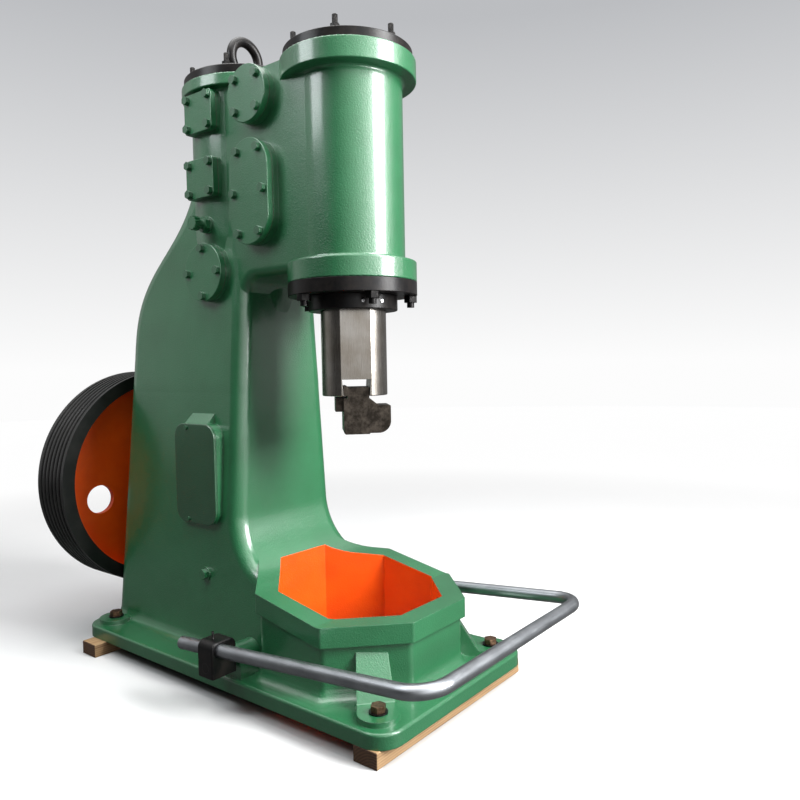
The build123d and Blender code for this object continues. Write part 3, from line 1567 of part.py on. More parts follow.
save("valve_cap_screws", valve_cap_screws())
save("spring_hook", spring_hook())
save("front_skid", skid(front_skid_x, base_half_width))
save("rear_skid", skid(rear_skid_x, base_half_width + rear_skid_overhang))
save("base_bolts", base_bolts())
save("base_washers", base_washers())
save("treadle_pivot_pins", treadle_pivot_pins())
save("ram", ram())
save("ram_piston_rings", split_rings(0, ram_bore, ram_ring_tops))
save("top_die", top_die())
save("die_key", die_key())
save("compressor_piston", compressor_piston())
save("compressor_piston_rings", split_rings(compressor_x, compressor_bore, compressor_ring_tops))
save("gudgeon_pin", gudgeon_pin())
save("connecting_rod", connecting_rod())
save("big_end_cap", big_end_cap())
save("big_end_bolts", big_end_bolts())
save("big_end_bush", big_end_bush())
save("small_end_bush", small_end_bush())
save("crank_pin", crank_pin())
save("crankshaft", crankshaft())
save("pulley", pulley())
save("pulley_key", pulley_key())
save("pulley_end_plate", pulley_end_plate())
save("treadle_bar", treadle_bar())
save("treadle_clamps", treadle_clamps())
save("treadle_set_screws", treadle_set_screws())
save("treadle_link_lug", treadle_link_lug())
save("push_rod", push_rod())
save("lower_valve", lower_valve())
save("upper_valve", upper_valve())
save("return_spring", return_spring())
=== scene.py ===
# %% [markdown]
# # Power hammer
# An air forging hammer is one tall casting with two cylinders on top. A belt pulley behind it turns
# a crank, the crank pumps air, and the air throws a square-shouldered steel ram up and down. The
# construction model already holds every piece at its true size, so this lesson is about finishes:
# what each surface is made of, how it was painted or cut, and how light shows it.

# %% Start from the construction model
import bmesh
import bpy
import math
from mathutils import Matrix, Vector


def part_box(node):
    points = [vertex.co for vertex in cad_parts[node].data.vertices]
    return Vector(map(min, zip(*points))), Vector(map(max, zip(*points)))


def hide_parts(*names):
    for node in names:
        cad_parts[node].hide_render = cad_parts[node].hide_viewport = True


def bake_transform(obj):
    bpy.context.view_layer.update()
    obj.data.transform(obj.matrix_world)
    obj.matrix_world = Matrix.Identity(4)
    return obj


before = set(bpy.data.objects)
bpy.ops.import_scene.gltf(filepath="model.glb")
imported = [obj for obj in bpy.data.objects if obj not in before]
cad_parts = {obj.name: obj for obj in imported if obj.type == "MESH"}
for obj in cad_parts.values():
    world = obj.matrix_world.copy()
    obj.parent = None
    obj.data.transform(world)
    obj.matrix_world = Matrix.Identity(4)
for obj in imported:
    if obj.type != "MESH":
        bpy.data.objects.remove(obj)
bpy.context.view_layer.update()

# %% [markdown]
# ## Where things are
# A pattern that belongs to one place on the casting, such as the orange paint inside the anvil
# well, needs that place as numbers. Where a piece's own box gives the number, it is read from there
# and moves with the model. The ram's axis is the model's own origin.

# %% Measure the places that the finishes need
skid_low, skid_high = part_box("front_skid")
rear_low, rear_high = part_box("rear_skid")
pulley_low, pulley_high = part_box("pulley")
casting_low, casting_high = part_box("frame_casting")
PULLEY_AXIS_Z = (pulley_low.z + pulley_high.z) / 2
PULLEY_RADIUS = (pulley_high.z - pulley_low.z) / 2
RIM_THICKNESS = 0.0455
RIM_INSIDE = PULLEY_RADIUS - RIM_THICKNESS
print("pulley radius", round(PULLEY_RADIUS, 3), "axis height", round(PULLEY_AXIS_Z, 3))

# %% [markdown]
# ## A small set of node helpers
# Every finish below is a node tree. Three things repeat in all of them: a place to read positions
# from, noise at some size, and a bump made from that noise. Helpers for these keep each finish
# short enough to read as a recipe. Positions come from Object coordinates, which are in metres
# here, so a noise scale of 400 means grains of about 2.5 mm.


# %% Helpers for finishes
class Finish:
    """One material under construction, with its shader and its object coordinates at hand."""

    def __init__(self, name):
        self.material = bpy.data.materials.new(name)
        self.material.use_nodes = True
        self.tree = self.material.node_tree
        self.nodes = self.tree.nodes
        self.shader = self.nodes["Principled BSDF"]
        self.place = self.nodes.new("ShaderNodeTexCoord").outputs["Object"]

    def link(self, source, target):
        self.tree.links.new(source, target)

    def plain(self, **values):
        """Sets values that are the same all over on the shader's own sockets."""
        for socket, value in values.items():
            self.shader.inputs[socket.replace("_", " ")].default_value = value

    def stretch(self, scale=(1, 1, 1), turn=(0, 0, 0)):
        """Object coordinates, turned and stretched."""
        mapping = self.nodes.new("ShaderNodeMapping")
        mapping.inputs["Rotation"].default_value = turn
        mapping.inputs["Scale"].default_value = scale
        self.link(self.place, mapping.inputs["Vector"])
        return mapping.outputs["Vector"]

    def noise(self, scale, detail=3.0, roughness=0.55, vector=None):
        """Soft noise between 0 and 1."""
        node = self.nodes.new("ShaderNodeTexNoise")
        node.inputs["Scale"].default_value = scale
        node.inputs["Detail"].default_value = detail
        node.inputs["Roughness"].default_value = roughness
        self.link(vector or self.place, node.inputs["Vector"])
        return node.outputs["Fac"]

    def ramp(self, value, stops):
        """Turns a value into a colour through stops of place and colour."""
        node = self.nodes.new("ShaderNodeValToRGB")
        while len(node.color_ramp.elements) < len(stops):
            node.color_ramp.elements.new(0.5)
        for element, (place, colour) in zip(node.color_ramp.elements, stops):
            element.position = place
            element.color = (*colour, 1)
        self.link(value, node.inputs["Fac"])
        return node.outputs["Color"]

    def span(self, value, low, high, to_low=0.0, to_high=1.0):
        """Stretches a value's range, and clamps it."""
        node = self.nodes.new("ShaderNodeMapRange")
        for socket, number in (("From Min", low), ("From Max", high), ("To Min", to_low),
                               ("To Max", to_high)):
            node.inputs[socket].default_value = number
        self.link(value, node.inputs["Value"])
        return node.outputs["Result"]

    def sum(self, kind, first, second):
        """One arithmetic step between two values or numbers."""
        node = self.nodes.new("ShaderNodeMath")
        node.operation = kind
        for socket, part in zip(node.inputs, (first, second)):
            if isinstance(part, (int, float)):
                socket.default_value = part
            else:
                self.link(part, socket)
        return node.outputs["Value"]

    def distance(self, first, second):
        """The straight distance that two lengths at a right angle make."""
        squares = self.sum("ADD", self.sum("POWER", first, 2), self.sum("POWER", second, 2))
        return self.sum("SQRT", squares, 0)

    def mix(self, share, first, second):
        """Mixes two colours by a share."""
        node = self.nodes.new("ShaderNodeMix")
        node.data_type = "RGBA"
        self.link(share, node.inputs["Factor"])
        for socket, part in ((node.inputs[6], first), (node.inputs[7], second)):
            if isinstance(part, tuple):
                socket.default_value = (*part, 1)
            else:
                self.link(part, socket)
        return node.outputs[2]

    def axes(self):
        """X, Y and Z of the place."""
        node = self.nodes.new("ShaderNodeSeparateXYZ")
        self.link(self.place, node.inputs["Vector"])
        return node.outputs["X"], node.outputs["Y"], node.outputs["Z"]

    def bump(self, height, distance, strength=1.0, under=None):
        """A bump of the given depth in metres, on top of another normal if there is one."""
        node = self.nodes.new("ShaderNodeBump")
        node.inputs["Strength"].default_value = strength
        node.inputs["Distance"].default_value = distance
        self.link(height, node.inputs["Height"])
        if under is not None:
            self.link(under, node.inputs["Normal"])
        return node.outputs["Normal"]

    def soft_edges(self, radius):
        """A normal that rounds sharp edges, as sand casting and thick paint do."""
        node = self.nodes.new("ShaderNodeBevel")
        node.samples = 4
        node.inputs["Radius"].default_value = radius
        return node.outputs["Normal"]

    def use(self, colour=None, roughness=None, normal=None):
        """Connects what varies over the surface to the shader."""
        parts = (("Base Color", colour), ("Roughness", roughness), ("Normal", normal))
        for socket, source in parts:
            if source is not None:
                self.link(source, self.shader.inputs[socket])
        return self.material


# %% [markdown]
# ## Green machine enamel
# The whole casting and its side covers are brushed and sprayed with thick green enamel, straight
# over sand-cast iron. Two textures show through: the fine pebbling of the sand, two or three
# millimetres across, and slow waves where filler was rubbed down by hand. The colour itself hardly
# changes; it only goes a little greyer and paler in broad patches. An image could be tiled over
# the casting, but noise in object space has no seams and follows every corner.


# %% Green enamel
GREEN = (0.015, 0.138, 0.050)
GREEN_PALE = (0.021, 0.164, 0.063)
GREEN_DEEP = (0.010, 0.112, 0.038)


def enamel_relief(finish, edge):
    """Sand pebbles and hand-rubbed waves under thick paint."""
    grain = finish.noise(230, detail=3.0, roughness=0.62)
    pits = finish.span(grain, 0.35, 0.7)
    waves = finish.noise(9, detail=2.0, roughness=0.4)
    normal = finish.soft_edges(edge)
    normal = finish.bump(waves, 0.004, 0.35, under=normal)
    return grain, finish.bump(pits, 0.0008, 0.55, under=normal)


def green_colour(finish, shade=1.0):
    """Green with broad pale and deep patches, darkened by a shade below 1: for the bolts' darker
    coat, and as painted shade on the crankcase covers.
    """
    patches = finish.noise(3.2, detail=4.0, roughness=0.6)
    stops = [(0.30, GREEN_DEEP), (0.52, GREEN), (0.78, GREEN_PALE)]
    return finish.ramp(patches, [(place, tuple(part * shade for part in colour))
                                 for place, colour in stops])


def green_enamel(name, edge=0.003, shade=1.0):
    """The enamel of covers and small green pieces."""
    finish = Finish(name)
    grain, normal = enamel_relief(finish, edge)
    finish.plain(Coat_Weight=0.9, Coat_Roughness=0.17, Specular_IOR_Level=0.5)
    rough = finish.span(grain, 0.2, 0.8, 0.26, 0.42)
    return finish.use(green_colour(finish, shade), rough, normal)


# %% [markdown]
# ## The casting's three paints
# The casting is one piece of iron, but not one colour. Its eight-sided anvil well is painted orange
# inside, as a warning. The two bores are bare, bored iron. An octagon is where the larger of |x|,
# |y| and (|x| + |y|) / √2 stays under the distance to a flat, so arithmetic on the position draws
# the border exactly on the well's rim, with no painting by hand. The two bores stand one pitch
# apart, and folding x back and forth over half that pitch lets one circle serve for both.


# %% Casting paint, well paint and bored iron
ORANGE = (0.89, 0.105, 0.004)
WELL_FLAT = 0.2404
WELL_TOP = 0.7
HALF_PITCH = 0.23
BORE_RADIUS = 0.1206
BORE_LOW = 1.15
BORE_REAR = -0.65


def casting_finish():
    """Green enamel outside, orange in the well, bare iron in the bores."""
    finish = Finish("casting paint")
    grain, normal = enamel_relief(finish, 0.004)
    x, y, z = finish.axes()
    across = finish.sum("ABSOLUTE", x, 0)
    along = finish.sum("ABSOLUTE", y, 0)
    corner = finish.sum("MULTIPLY", finish.sum("ADD", across, along), math.sqrt(0.5))
    reach = finish.sum("MAXIMUM", finish.sum("MAXIMUM", across, along), corner)
    in_well = finish.sum("LESS_THAN", reach, WELL_FLAT)
    low = finish.sum("LESS_THAN", z, WELL_TOP)
    well = finish.sum("MULTIPLY", in_well, low)
    orange = finish.ramp(finish.noise(14, detail=4.0),
                         [(0.3, (0.82, 0.085, 0.003)), (0.7, ORANGE)])
    colour = finish.mix(well, green_colour(finish), orange)
    bore_x = finish.sum("PINGPONG", finish.sum("ABSOLUTE", x, 0), HALF_PITCH)
    radius = finish.distance(bore_x, y)
    head = finish.sum("MULTIPLY", finish.sum("GREATER_THAN", z, BORE_LOW),
                      finish.sum("GREATER_THAN", x, BORE_REAR))
    bored = finish.sum("MULTIPLY", finish.sum("LESS_THAN", radius, BORE_RADIUS), head)
    colour = finish.mix(bored, colour, (0.30, 0.30, 0.31))
    finish.plain(Coat_Weight=0.9, Coat_Roughness=0.17, Specular_IOR_Level=0.5)
    return finish.use(colour, finish.span(grain, 0.2, 0.8, 0.26, 0.42), normal)


# %% [markdown]
# ## Black enamel
# The cylinder covers, gland and clamps are turned on a lathe first and then painted black. Turned
# iron is smoother than cast iron, so the grain is finer and shallower, and a little dust makes the
# black brown-grey in places. A black paint reads as black only if its highlights are clean, so the
# roughness stays low and varies little.


# %% Black enamel
def black_enamel(name, edge=0.0015):
    """Smooth black paint with a little dust."""
    finish = Finish(name)
    dust = finish.noise(22, detail=6.0, roughness=0.7)
    colour = finish.ramp(dust, [(0.40, (0.004, 0.004, 0.0045)), (0.80, (0.018, 0.014, 0.012))])
    grain = finish.noise(620, detail=2.0)
    normal = finish.bump(grain, 0.0002, 0.30, under=finish.soft_edges(edge))
    finish.plain(Coat_Weight=0.03, Coat_Roughness=0.2, Specular_IOR_Level=0.18)
    return finish.use(colour, finish.span(dust, 0.3, 0.8, 0.28, 0.44), normal)


# %% [markdown]
# ## The two-colour pulley
# The pulley's rim is black, outside and on both edges, and everything inside the rim is the same
# orange as the well. The border is a circle round the shaft, so the distance from the shaft in the
# Y and Z directions decides the colour.


# %% Pulley paint
def pulley_finish():
    """Black rim, orange web and hub."""
    finish = Finish("pulley paint")
    _, y, z = finish.axes()
    up = finish.sum("SUBTRACT", z, PULLEY_AXIS_Z)
    radius = finish.distance(y, up)
    on_rim = finish.sum("GREATER_THAN", radius, RIM_INSIDE)
    cloud = finish.noise(12, detail=4.0)
    orange = finish.ramp(cloud, [(0.3, (0.80, 0.080, 0.003)), (0.7, ORANGE)])
    black = finish.ramp(cloud, [(0.4, (0.005, 0.005, 0.005)), (0.8, (0.016, 0.015, 0.014))])
    normal = finish.bump(finish.noise(420, detail=2.0), 0.0003, 0.35,
                         under=finish.soft_edges(0.002))
    finish.plain(Coat_Weight=0.1, Coat_Roughness=0.15, Specular_IOR_Level=0.3)
    return finish.use(finish.mix(on_rim, orange, black),
                      finish.span(cloud, 0.3, 0.7, 0.28, 0.40), normal)


# %% [markdown]
# ## Ground and drawn steel
# Bare steel is told apart by its scratches. The ram is ground and then polished by its own packing,
# so its scratches run straight up. The treadle's bar was drawn through a die and has gone dull.
# A noise stretched a hundred times along one direction gives such scratches. They change the
# roughness and make a faint bump, and the metal reflects the room between them.


# %% Steel helper
SCRATCH_DEPTH = 0.00012


def steel(name, colour, roughness, stretch, stain=None, edge=0.0008):
    """Bare steel with scratches along one direction and stains over it."""
    finish = Finish(name)
    scratches = finish.noise(900, detail=2.0, roughness=0.6, vector=finish.stretch(stretch))
    cloud = finish.noise(11, detail=5.0, roughness=0.6)
    shade = tuple(part * 0.72 for part in colour)
    tint = finish.ramp(cloud, [(0.35, stain or shade), (0.62, colour)])
    rough = finish.span(scratches, 0.3, 0.7, roughness - 0.07, roughness + 0.09)
    normal = finish.bump(scratches, SCRATCH_DEPTH, 0.5, under=finish.soft_edges(edge))
    finish.plain(Metallic=1.0)
    return finish.use(tint, rough, normal)


# %% [markdown]
# ## Scaled, forged and blackened steel
# The striking die was hardened in the fire, and its skin is dark scale that has flaked here and
# there. Bolts are blackened in oil. Both are metal with a rough dark layer, so the base is metallic
# and a cell-like noise thins the layer in spots.


# %% Dark steel helper
def dark_steel(name, dark, bright, share, roughness, size=60.0, edge=0.001):
    """Metal under a dark skin, with brighter worn spots."""
    finish = Finish(name)
    patch = finish.noise(size, detail=6.0, roughness=0.68)
    colour = finish.ramp(patch, [(share, dark), (min(share + 0.22, 1.0), bright)])
    grit = finish.noise(size * 9, detail=3.0)
    normal = finish.bump(patch, 0.0006, 0.35, under=finish.soft_edges(edge))
    normal = finish.bump(grit, 0.0002, 0.4, under=normal)
    finish.plain(Metallic=0.85)
    rough = finish.span(grit, 0.3, 0.7, roughness - 0.08, roughness + 0.12)
    return finish.use(colour, rough, normal)


# %% [markdown]
# ## Threads
# The studs stand well above their nuts, so their threads show. A real thread is cut by a die that
# climbs round the stud. At this size its climb can't be seen, so a wave that repeats every pitch
# along Z gives the same row of ridges as a bump.


# %% Threaded steel
def threaded_steel(name, pitch):
    """Dark steel with thread ridges across Z."""
    finish = Finish(name)
    _, _, z = finish.axes()
    ridge = finish.span(finish.sum("PINGPONG", z, pitch / 2), 0.0, pitch / 2)
    patch = finish.noise(80, detail=5.0, roughness=0.65)
    colour = finish.ramp(patch, [(0.45, (0.010, 0.0095, 0.0095)), (0.75, (0.050, 0.047, 0.045))])
    finish.plain(Metallic=0.85)
    rough = finish.span(patch, 0.3, 0.7, 0.30, 0.46)
    return finish.use(colour, rough, finish.bump(ridge, 0.0008, 0.8))


# %% [markdown]
# ## Sawn timber
# The two bearers are squared hardwood. Along the sides a saw leaves long streaks; across the ends
# the year rings show as arcs, and the ends are coloured much darker than the sides. Rings are bands
# of distance from a heart line that runs along the timber, a little outside it. Noise bends them.


# %% Timber
TAN = (0.40, 0.245, 0.120)
BROWN = (0.17, 0.085, 0.040)
HEART_ASIDE = 0.03
HEART_BELOW = 0.035
RING_WIDTH = 0.0035
RING_WANDER = 0.006
END_SKIN = 0.0015


def timber_finish(name, heart_x, half_length):
    """Wood whose rings run round a heart line parallel to Y."""
    finish = Finish(name)
    streaks = finish.noise(70, detail=5.0, roughness=0.65, vector=finish.stretch((1, 0.05, 1)))
    x, y, z = finish.axes()
    radius = finish.distance(finish.sum("SUBTRACT", x, heart_x + HEART_ASIDE),
                             finish.sum("ADD", z, HEART_BELOW))
    bent = finish.sum("ADD", radius, finish.sum("MULTIPLY", streaks, RING_WANDER))
    rings = finish.sum("PINGPONG", bent, RING_WIDTH)
    grain = finish.span(rings, 0.0, RING_WIDTH)
    blend = finish.sum("ADD", finish.sum("MULTIPLY", streaks, 0.75),
                       finish.sum("MULTIPLY", grain, 0.25))
    side = finish.ramp(blend, [(0.25, BROWN), (0.45, TAN), (0.75, (0.50, 0.33, 0.18))])
    ends = finish.sum("GREATER_THAN", finish.sum("ABSOLUTE", y, 0), half_length - END_SKIN)
    end = finish.ramp(grain, [(0.2, (0.052, 0.024, 0.012)), (0.9, (0.105, 0.052, 0.026))])
    normal = finish.bump(blend, 0.0012, 0.5, under=finish.soft_edges(0.002))
    rough = finish.span(streaks, 0.3, 0.7, 0.62, 0.82)
    return finish.use(finish.mix(ends, side, end), rough, normal)


# %% [markdown]
# ## Bronze, packing and gaskets
# A few soft materials sit between the hard ones. Bronze bushes are turned, so their scratches run
# round. Packing is braided and greased, and gaskets are pressed fibre. They are small, but from
# below the bronze shows as a warm line round the ram.


# %% Bronze, braid and fibre
def bronze_finish():
    """Turned bronze, with fine rings round its axis."""
    finish = Finish("bearing bronze")
    cloud = finish.noise(40, detail=5.0)
    colour = finish.ramp(cloud, [(0.3, (0.32, 0.17, 0.06)), (0.7, (0.60, 0.36, 0.14))])
    rings = finish.noise(1200, detail=2.0, vector=finish.stretch((0.05, 0.05, 1)))
    finish.plain(Metallic=1.0)
    return finish.use(colour, finish.span(rings, 0.3, 0.7, 0.24, 0.42),
                      finish.bump(rings, 0.0001, 0.5, under=finish.soft_edges(0.0008)))


def braid_finish():
    """Greased braid, for the packing and the shaft's seal."""
    finish = Finish("greased braid")
    weave = finish.nodes.new("ShaderNodeTexWave")
    weave.inputs["Scale"].default_value = 160
    weave.inputs["Distortion"].default_value = 3.0
    finish.link(finish.stretch((1, 1, 1), (0.5, 0.6, 0.0)), weave.inputs["Vector"])
    strands = weave.outputs["Fac"]
    colour = finish.ramp(strands, [(0.2, (0.10, 0.075, 0.045)), (0.8, (0.30, 0.24, 0.16))])
    finish.plain(Roughness=0.7)
    return finish.use(colour, None, finish.bump(strands, 0.0008, 0.6))


def fibre_finish():
    """Pressed fibre with dark flecks."""
    finish = Finish("gasket fibre")
    flecks = finish.noise(260, detail=5.0, roughness=0.7)
    colour = finish.ramp(flecks, [(0.35, (0.055, 0.045, 0.035)), (0.7, (0.12, 0.10, 0.08))])
    rough = finish.span(flecks, 0.3, 0.7, 0.7, 0.9)
    return finish.use(colour, rough, finish.bump(flecks, 0.0003, 0.5))


def machined_iron_finish():
    """Turned grey iron, for pistons, rings and valves."""
    finish = Finish("machined iron")
    rings = finish.noise(1000, detail=2.0, vector=finish.stretch((0.08, 0.08, 1)))
    cloud = finish.noise(30, detail=5.0)
    colour = finish.ramp(cloud, [(0.3, (0.16, 0.16, 0.165)), (0.7, (0.34, 0.34, 0.345))])
    finish.plain(Metallic=0.9)
    return finish.use(colour, finish.span(rings, 0.3, 0.7, 0.30, 0.46),
                      finish.bump(rings, 0.00012, 0.5, under=finish.soft_edges(0.001)))


# %% [markdown]
# ## Dressing every piece
# Each finish is made once and shared by all pieces that leave the same shop in the same state.
# The list below names every piece of the hammer exactly once, so none can stay in its plain import
# colour, and the script stops with a message if one is missing.

# %% Give each piece its finish
green_small = green_enamel("green cover paint", 0.002)
green_bolt = green_enamel("green over-painted bolts", 0.001, 0.75)
# painted shade: the crankcase covers get the cover green darkened to 0.55, for the shade low on the
# covered side
green_painted_shade = green_enamel("crankcase cover paint darkened as painted shade", 0.003, 0.55)
black_turned = black_enamel("black cover paint")
black_clamp = black_enamel("black clamp paint", 0.003)
ram_steel = steel("ground ram steel", (0.27, 0.255, 0.235), 0.27, (1, 1, 0.012),
                  stain=(0.20, 0.18, 0.155))
bright = steel("bright steel", (0.55, 0.55, 0.56), 0.26, (1, 1, 0.05))
bar_steel = steel("dull drawn steel", (0.31, 0.325, 0.345), 0.36, (0.02, 0.02, 1), edge=0.001)
forged = dark_steel("forged steel", (0.10, 0.10, 0.105), (0.33, 0.33, 0.335), 0.38, 0.42)
die_skin = dark_steel("scaled die steel", (0.020, 0.016, 0.012), (0.075, 0.062, 0.050),
                      0.42, 0.40, 45.0)
blackened = dark_steel("blackened bolts", (0.010, 0.0095, 0.0095), (0.050, 0.047, 0.045),
                       0.54, 0.36)
base_bolt_skin = dark_steel("rusty brown bolts", (0.060, 0.030, 0.017), (0.20, 0.115, 0.07),
                            0.42, 0.42)
spring_wire = dark_steel("oiled spring wire", (0.03, 0.03, 0.032), (0.15, 0.15, 0.155),
                         0.5, 0.30, 90.0)
bronze = bronze_finish()
braid = braid_finish()
fibre = fibre_finish()
iron = machined_iron_finish()

dressing = [
    (casting_finish(), "frame_casting"),
    (green_small, "oblong_cover square_covers upper_round_cover lower_round_cover "
                  "bearing_housing valve_caps oil_fitting drain_plug"),
    (green_painted_shade, "crankcase_covers"),
    (green_bolt, "side_cover_bolts crankcase_cover_screws valve_cap_screws bearing_housing_bolts"),
    (black_turned, "front_cylinder_cover rear_cylinder_cover gland_flange gland_hub lifting_eye"),
    (black_clamp, "treadle_clamps treadle_pivot_pins"),
    (pulley_finish(), "pulley"),
    (ram_steel, "ram"),
    (bright, "gudgeon_pin crank_pin pulley_key gland_screws"),
    (bar_steel, "treadle_bar treadle_link_lug push_rod"),
    (forged, "connecting_rod big_end_cap crankshaft big_end_bolts"),
    (die_skin, "top_die die_key"),
    (blackened, "cover_nuts gland_studs_nuts pulley_end_plate spring_hook base_washers"),
    (threaded_steel("blackened threads", 0.002), "cover_studs treadle_set_screws"),
    (base_bolt_skin, "base_bolts"),
    (spring_wire, "return_spring"),
    (bronze, "ram_guide_bush crankshaft_bushes small_end_bush big_end_bush"),
    (braid, "ram_packing shaft_seal"),
    (fibre, "cylinder_cover_gaskets side_cover_gaskets"),
    (iron, "compressor_piston compressor_piston_rings ram_piston_rings lower_valve upper_valve"),
    (timber_finish("front bearer timber", (skid_low.x + skid_high.x) / 2, skid_high.y),
     "front_skid"),
    (timber_finish("rear bearer timber", (rear_low.x + rear_high.x) / 2, rear_high.y),
     "rear_skid"),
]
dressed = set()
for material, names in dressing:
    for node in names.split():
        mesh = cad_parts[node].data
        mesh.materials.clear()
        mesh.materials.append(material)
        dressed.add(node)
undressed = sorted(set(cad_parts) - dressed)
if undressed:
    raise SystemExit("no finish for " + ", ".join(undressed))
print("dressed", len(dressed), "pieces with", len(dressing), "finishes")

# %% [markdown]
# ## The return spring
# The return spring hangs from a fixed hook, and its lower eye holds a pin on the valve lever. When
# the treadle is pressed, that pin goes down by about two centimetres and the spring grows longer. A
# rigid spring would be left above its pin. Here a copy stands for it, with its points joined and
# smooth shading, and the original is hidden.


# %% Return spring
SAME_POINT = 1e-5


def stretching_spring():
    """A copy of the spring with its points joined and smooth shading, in place of the hidden
    original.
    """
    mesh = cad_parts["return_spring"].data.copy()
    mesh.name = "stretching_spring"
    shape = bmesh.new()
    shape.from_mesh(mesh)
    bmesh.ops.remove_doubles(shape, verts=shape.verts, dist=SAME_POINT)
    shape.to_mesh(mesh)
    shape.free()
    mesh.shade_smooth()
    piece = bpy.data.objects.new("stretching_spring", mesh)
    bpy.context.scene.collection.objects.link(piece)
    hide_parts("return_spring")
    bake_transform(piece)


stretching_spring()

# %% [markdown]
# ## Floor and studio
# The hammer stands in a white photo studio, where paper runs from the floor up the wall without a
# corner. A large disc is the floor. Near the hammer it is an ordinary pale surface that catches the
# shadow; farther away it glows a little, so that it meets the white backdrop with no line between.
# To the light that bounces it is a dark grey, or it would wash out the deep green low on the base.
# Under the base the paper is coloured dark grey as painted shade, so the well's orange doesn't glow
# out from under it.


# %% Floor
FLOOR_RADIUS = 14.0
GLOW_CENTRE_X = -0.3
GLOW_STARTS, GLOW_FULL = 1.3, 4.5
PAINTED_SHADE_ENDS, PAPER_STARTS = -0.06, -0.01
BASE_HALF_WIDTH = skid_high.y
BASE_MIDDLE = (casting_low.x + casting_high.x) / 2
BASE_HALF_LENGTH = (casting_high.x - casting_low.x) / 2


def studio_floor():
    """A wide pale disc on which the bearers stand."""
    mesh = bpy.data.meshes.new("studio_floor")
    shape = bmesh.new()
    bmesh.ops.create_circle(shape, cap_ends=True, cap_tris=False, segments=96,
                              radius=FLOOR_RADIUS)
    shape.to_mesh(mesh)
    shape.free()
    disc = bpy.data.objects.new("studio_floor", mesh)
    bpy.context.scene.collection.objects.link(disc)
    finish = Finish("studio floor")
    cloud = finish.noise(1.3, detail=4.0)
    colour = finish.ramp(cloud, [(0.3, (0.84, 0.84, 0.84)), (0.7, (0.88, 0.88, 0.88))])
    x, y, _ = finish.axes()
    away = finish.distance(finish.sum("SUBTRACT", x, GLOW_CENTRE_X), y)
    beside = finish.sum("SUBTRACT", finish.sum("ABSOLUTE", y, 0), BASE_HALF_WIDTH)
    beyond = finish.sum("SUBTRACT", finish.sum(
        "ABSOLUTE", finish.sum("SUBTRACT", x, BASE_MIDDLE), 0), BASE_HALF_LENGTH)
    # painted shade: inside the base's outline the paper is coloured near-black, standing for the
    # shade under the machine
    open_floor = finish.span(finish.sum("MAXIMUM", beside, beyond), PAINTED_SHADE_ENDS, PAPER_STARTS)
    colour = finish.mix(open_floor, (0.06, 0.055, 0.05), colour)
    seen = finish.nodes.new("ShaderNodeLightPath").outputs["Is Camera Ray"]
    glow = finish.sum("MULTIPLY", finish.span(away, GLOW_STARTS, GLOW_FULL), seen)
    finish.link(finish.mix(glow, (0.0, 0.0, 0.0), (0.90, 0.90, 0.90)),
                finish.shader.inputs["Emission Color"])
    finish.plain(Specular_IOR_Level=0.2, Emission_Strength=1.0)
    near = finish.mix(seen, (0.09, 0.09, 0.09), colour)
    far = finish.mix(glow, near, (0.05, 0.05, 0.05))
    mesh.materials.append(finish.use(far, finish.span(cloud, 0.3, 0.7, 0.5, 0.6)))


studio_floor()


# %% [markdown]
# ## World
# A camera ray that misses the hammer and the floor sees the backdrop: grey high up and white low
# down. Reflections see another room: dark, with one wide bright panel on the machine's front side
# and a weaker one to the left. That is what draws a long highlight beside a dark band on a round
# cylinder, and light and dark stripes on the ground ram. Every other ray sees an even, dim light
# that fills the shadows.


# %% World
PANELS = [(-180, 0.10), (-160, 0.22), (-142, 0.14), (-126, 0.03), (-76, 0.03), (-52, 0.35),
          (-20, 0.95), (18, 1.0), (36, 0.42), (47, 0.12), (130, 0.07), (180, 0.10)]
PANEL_STRENGTH = 3.2
FILL_STRENGTH = 0.14


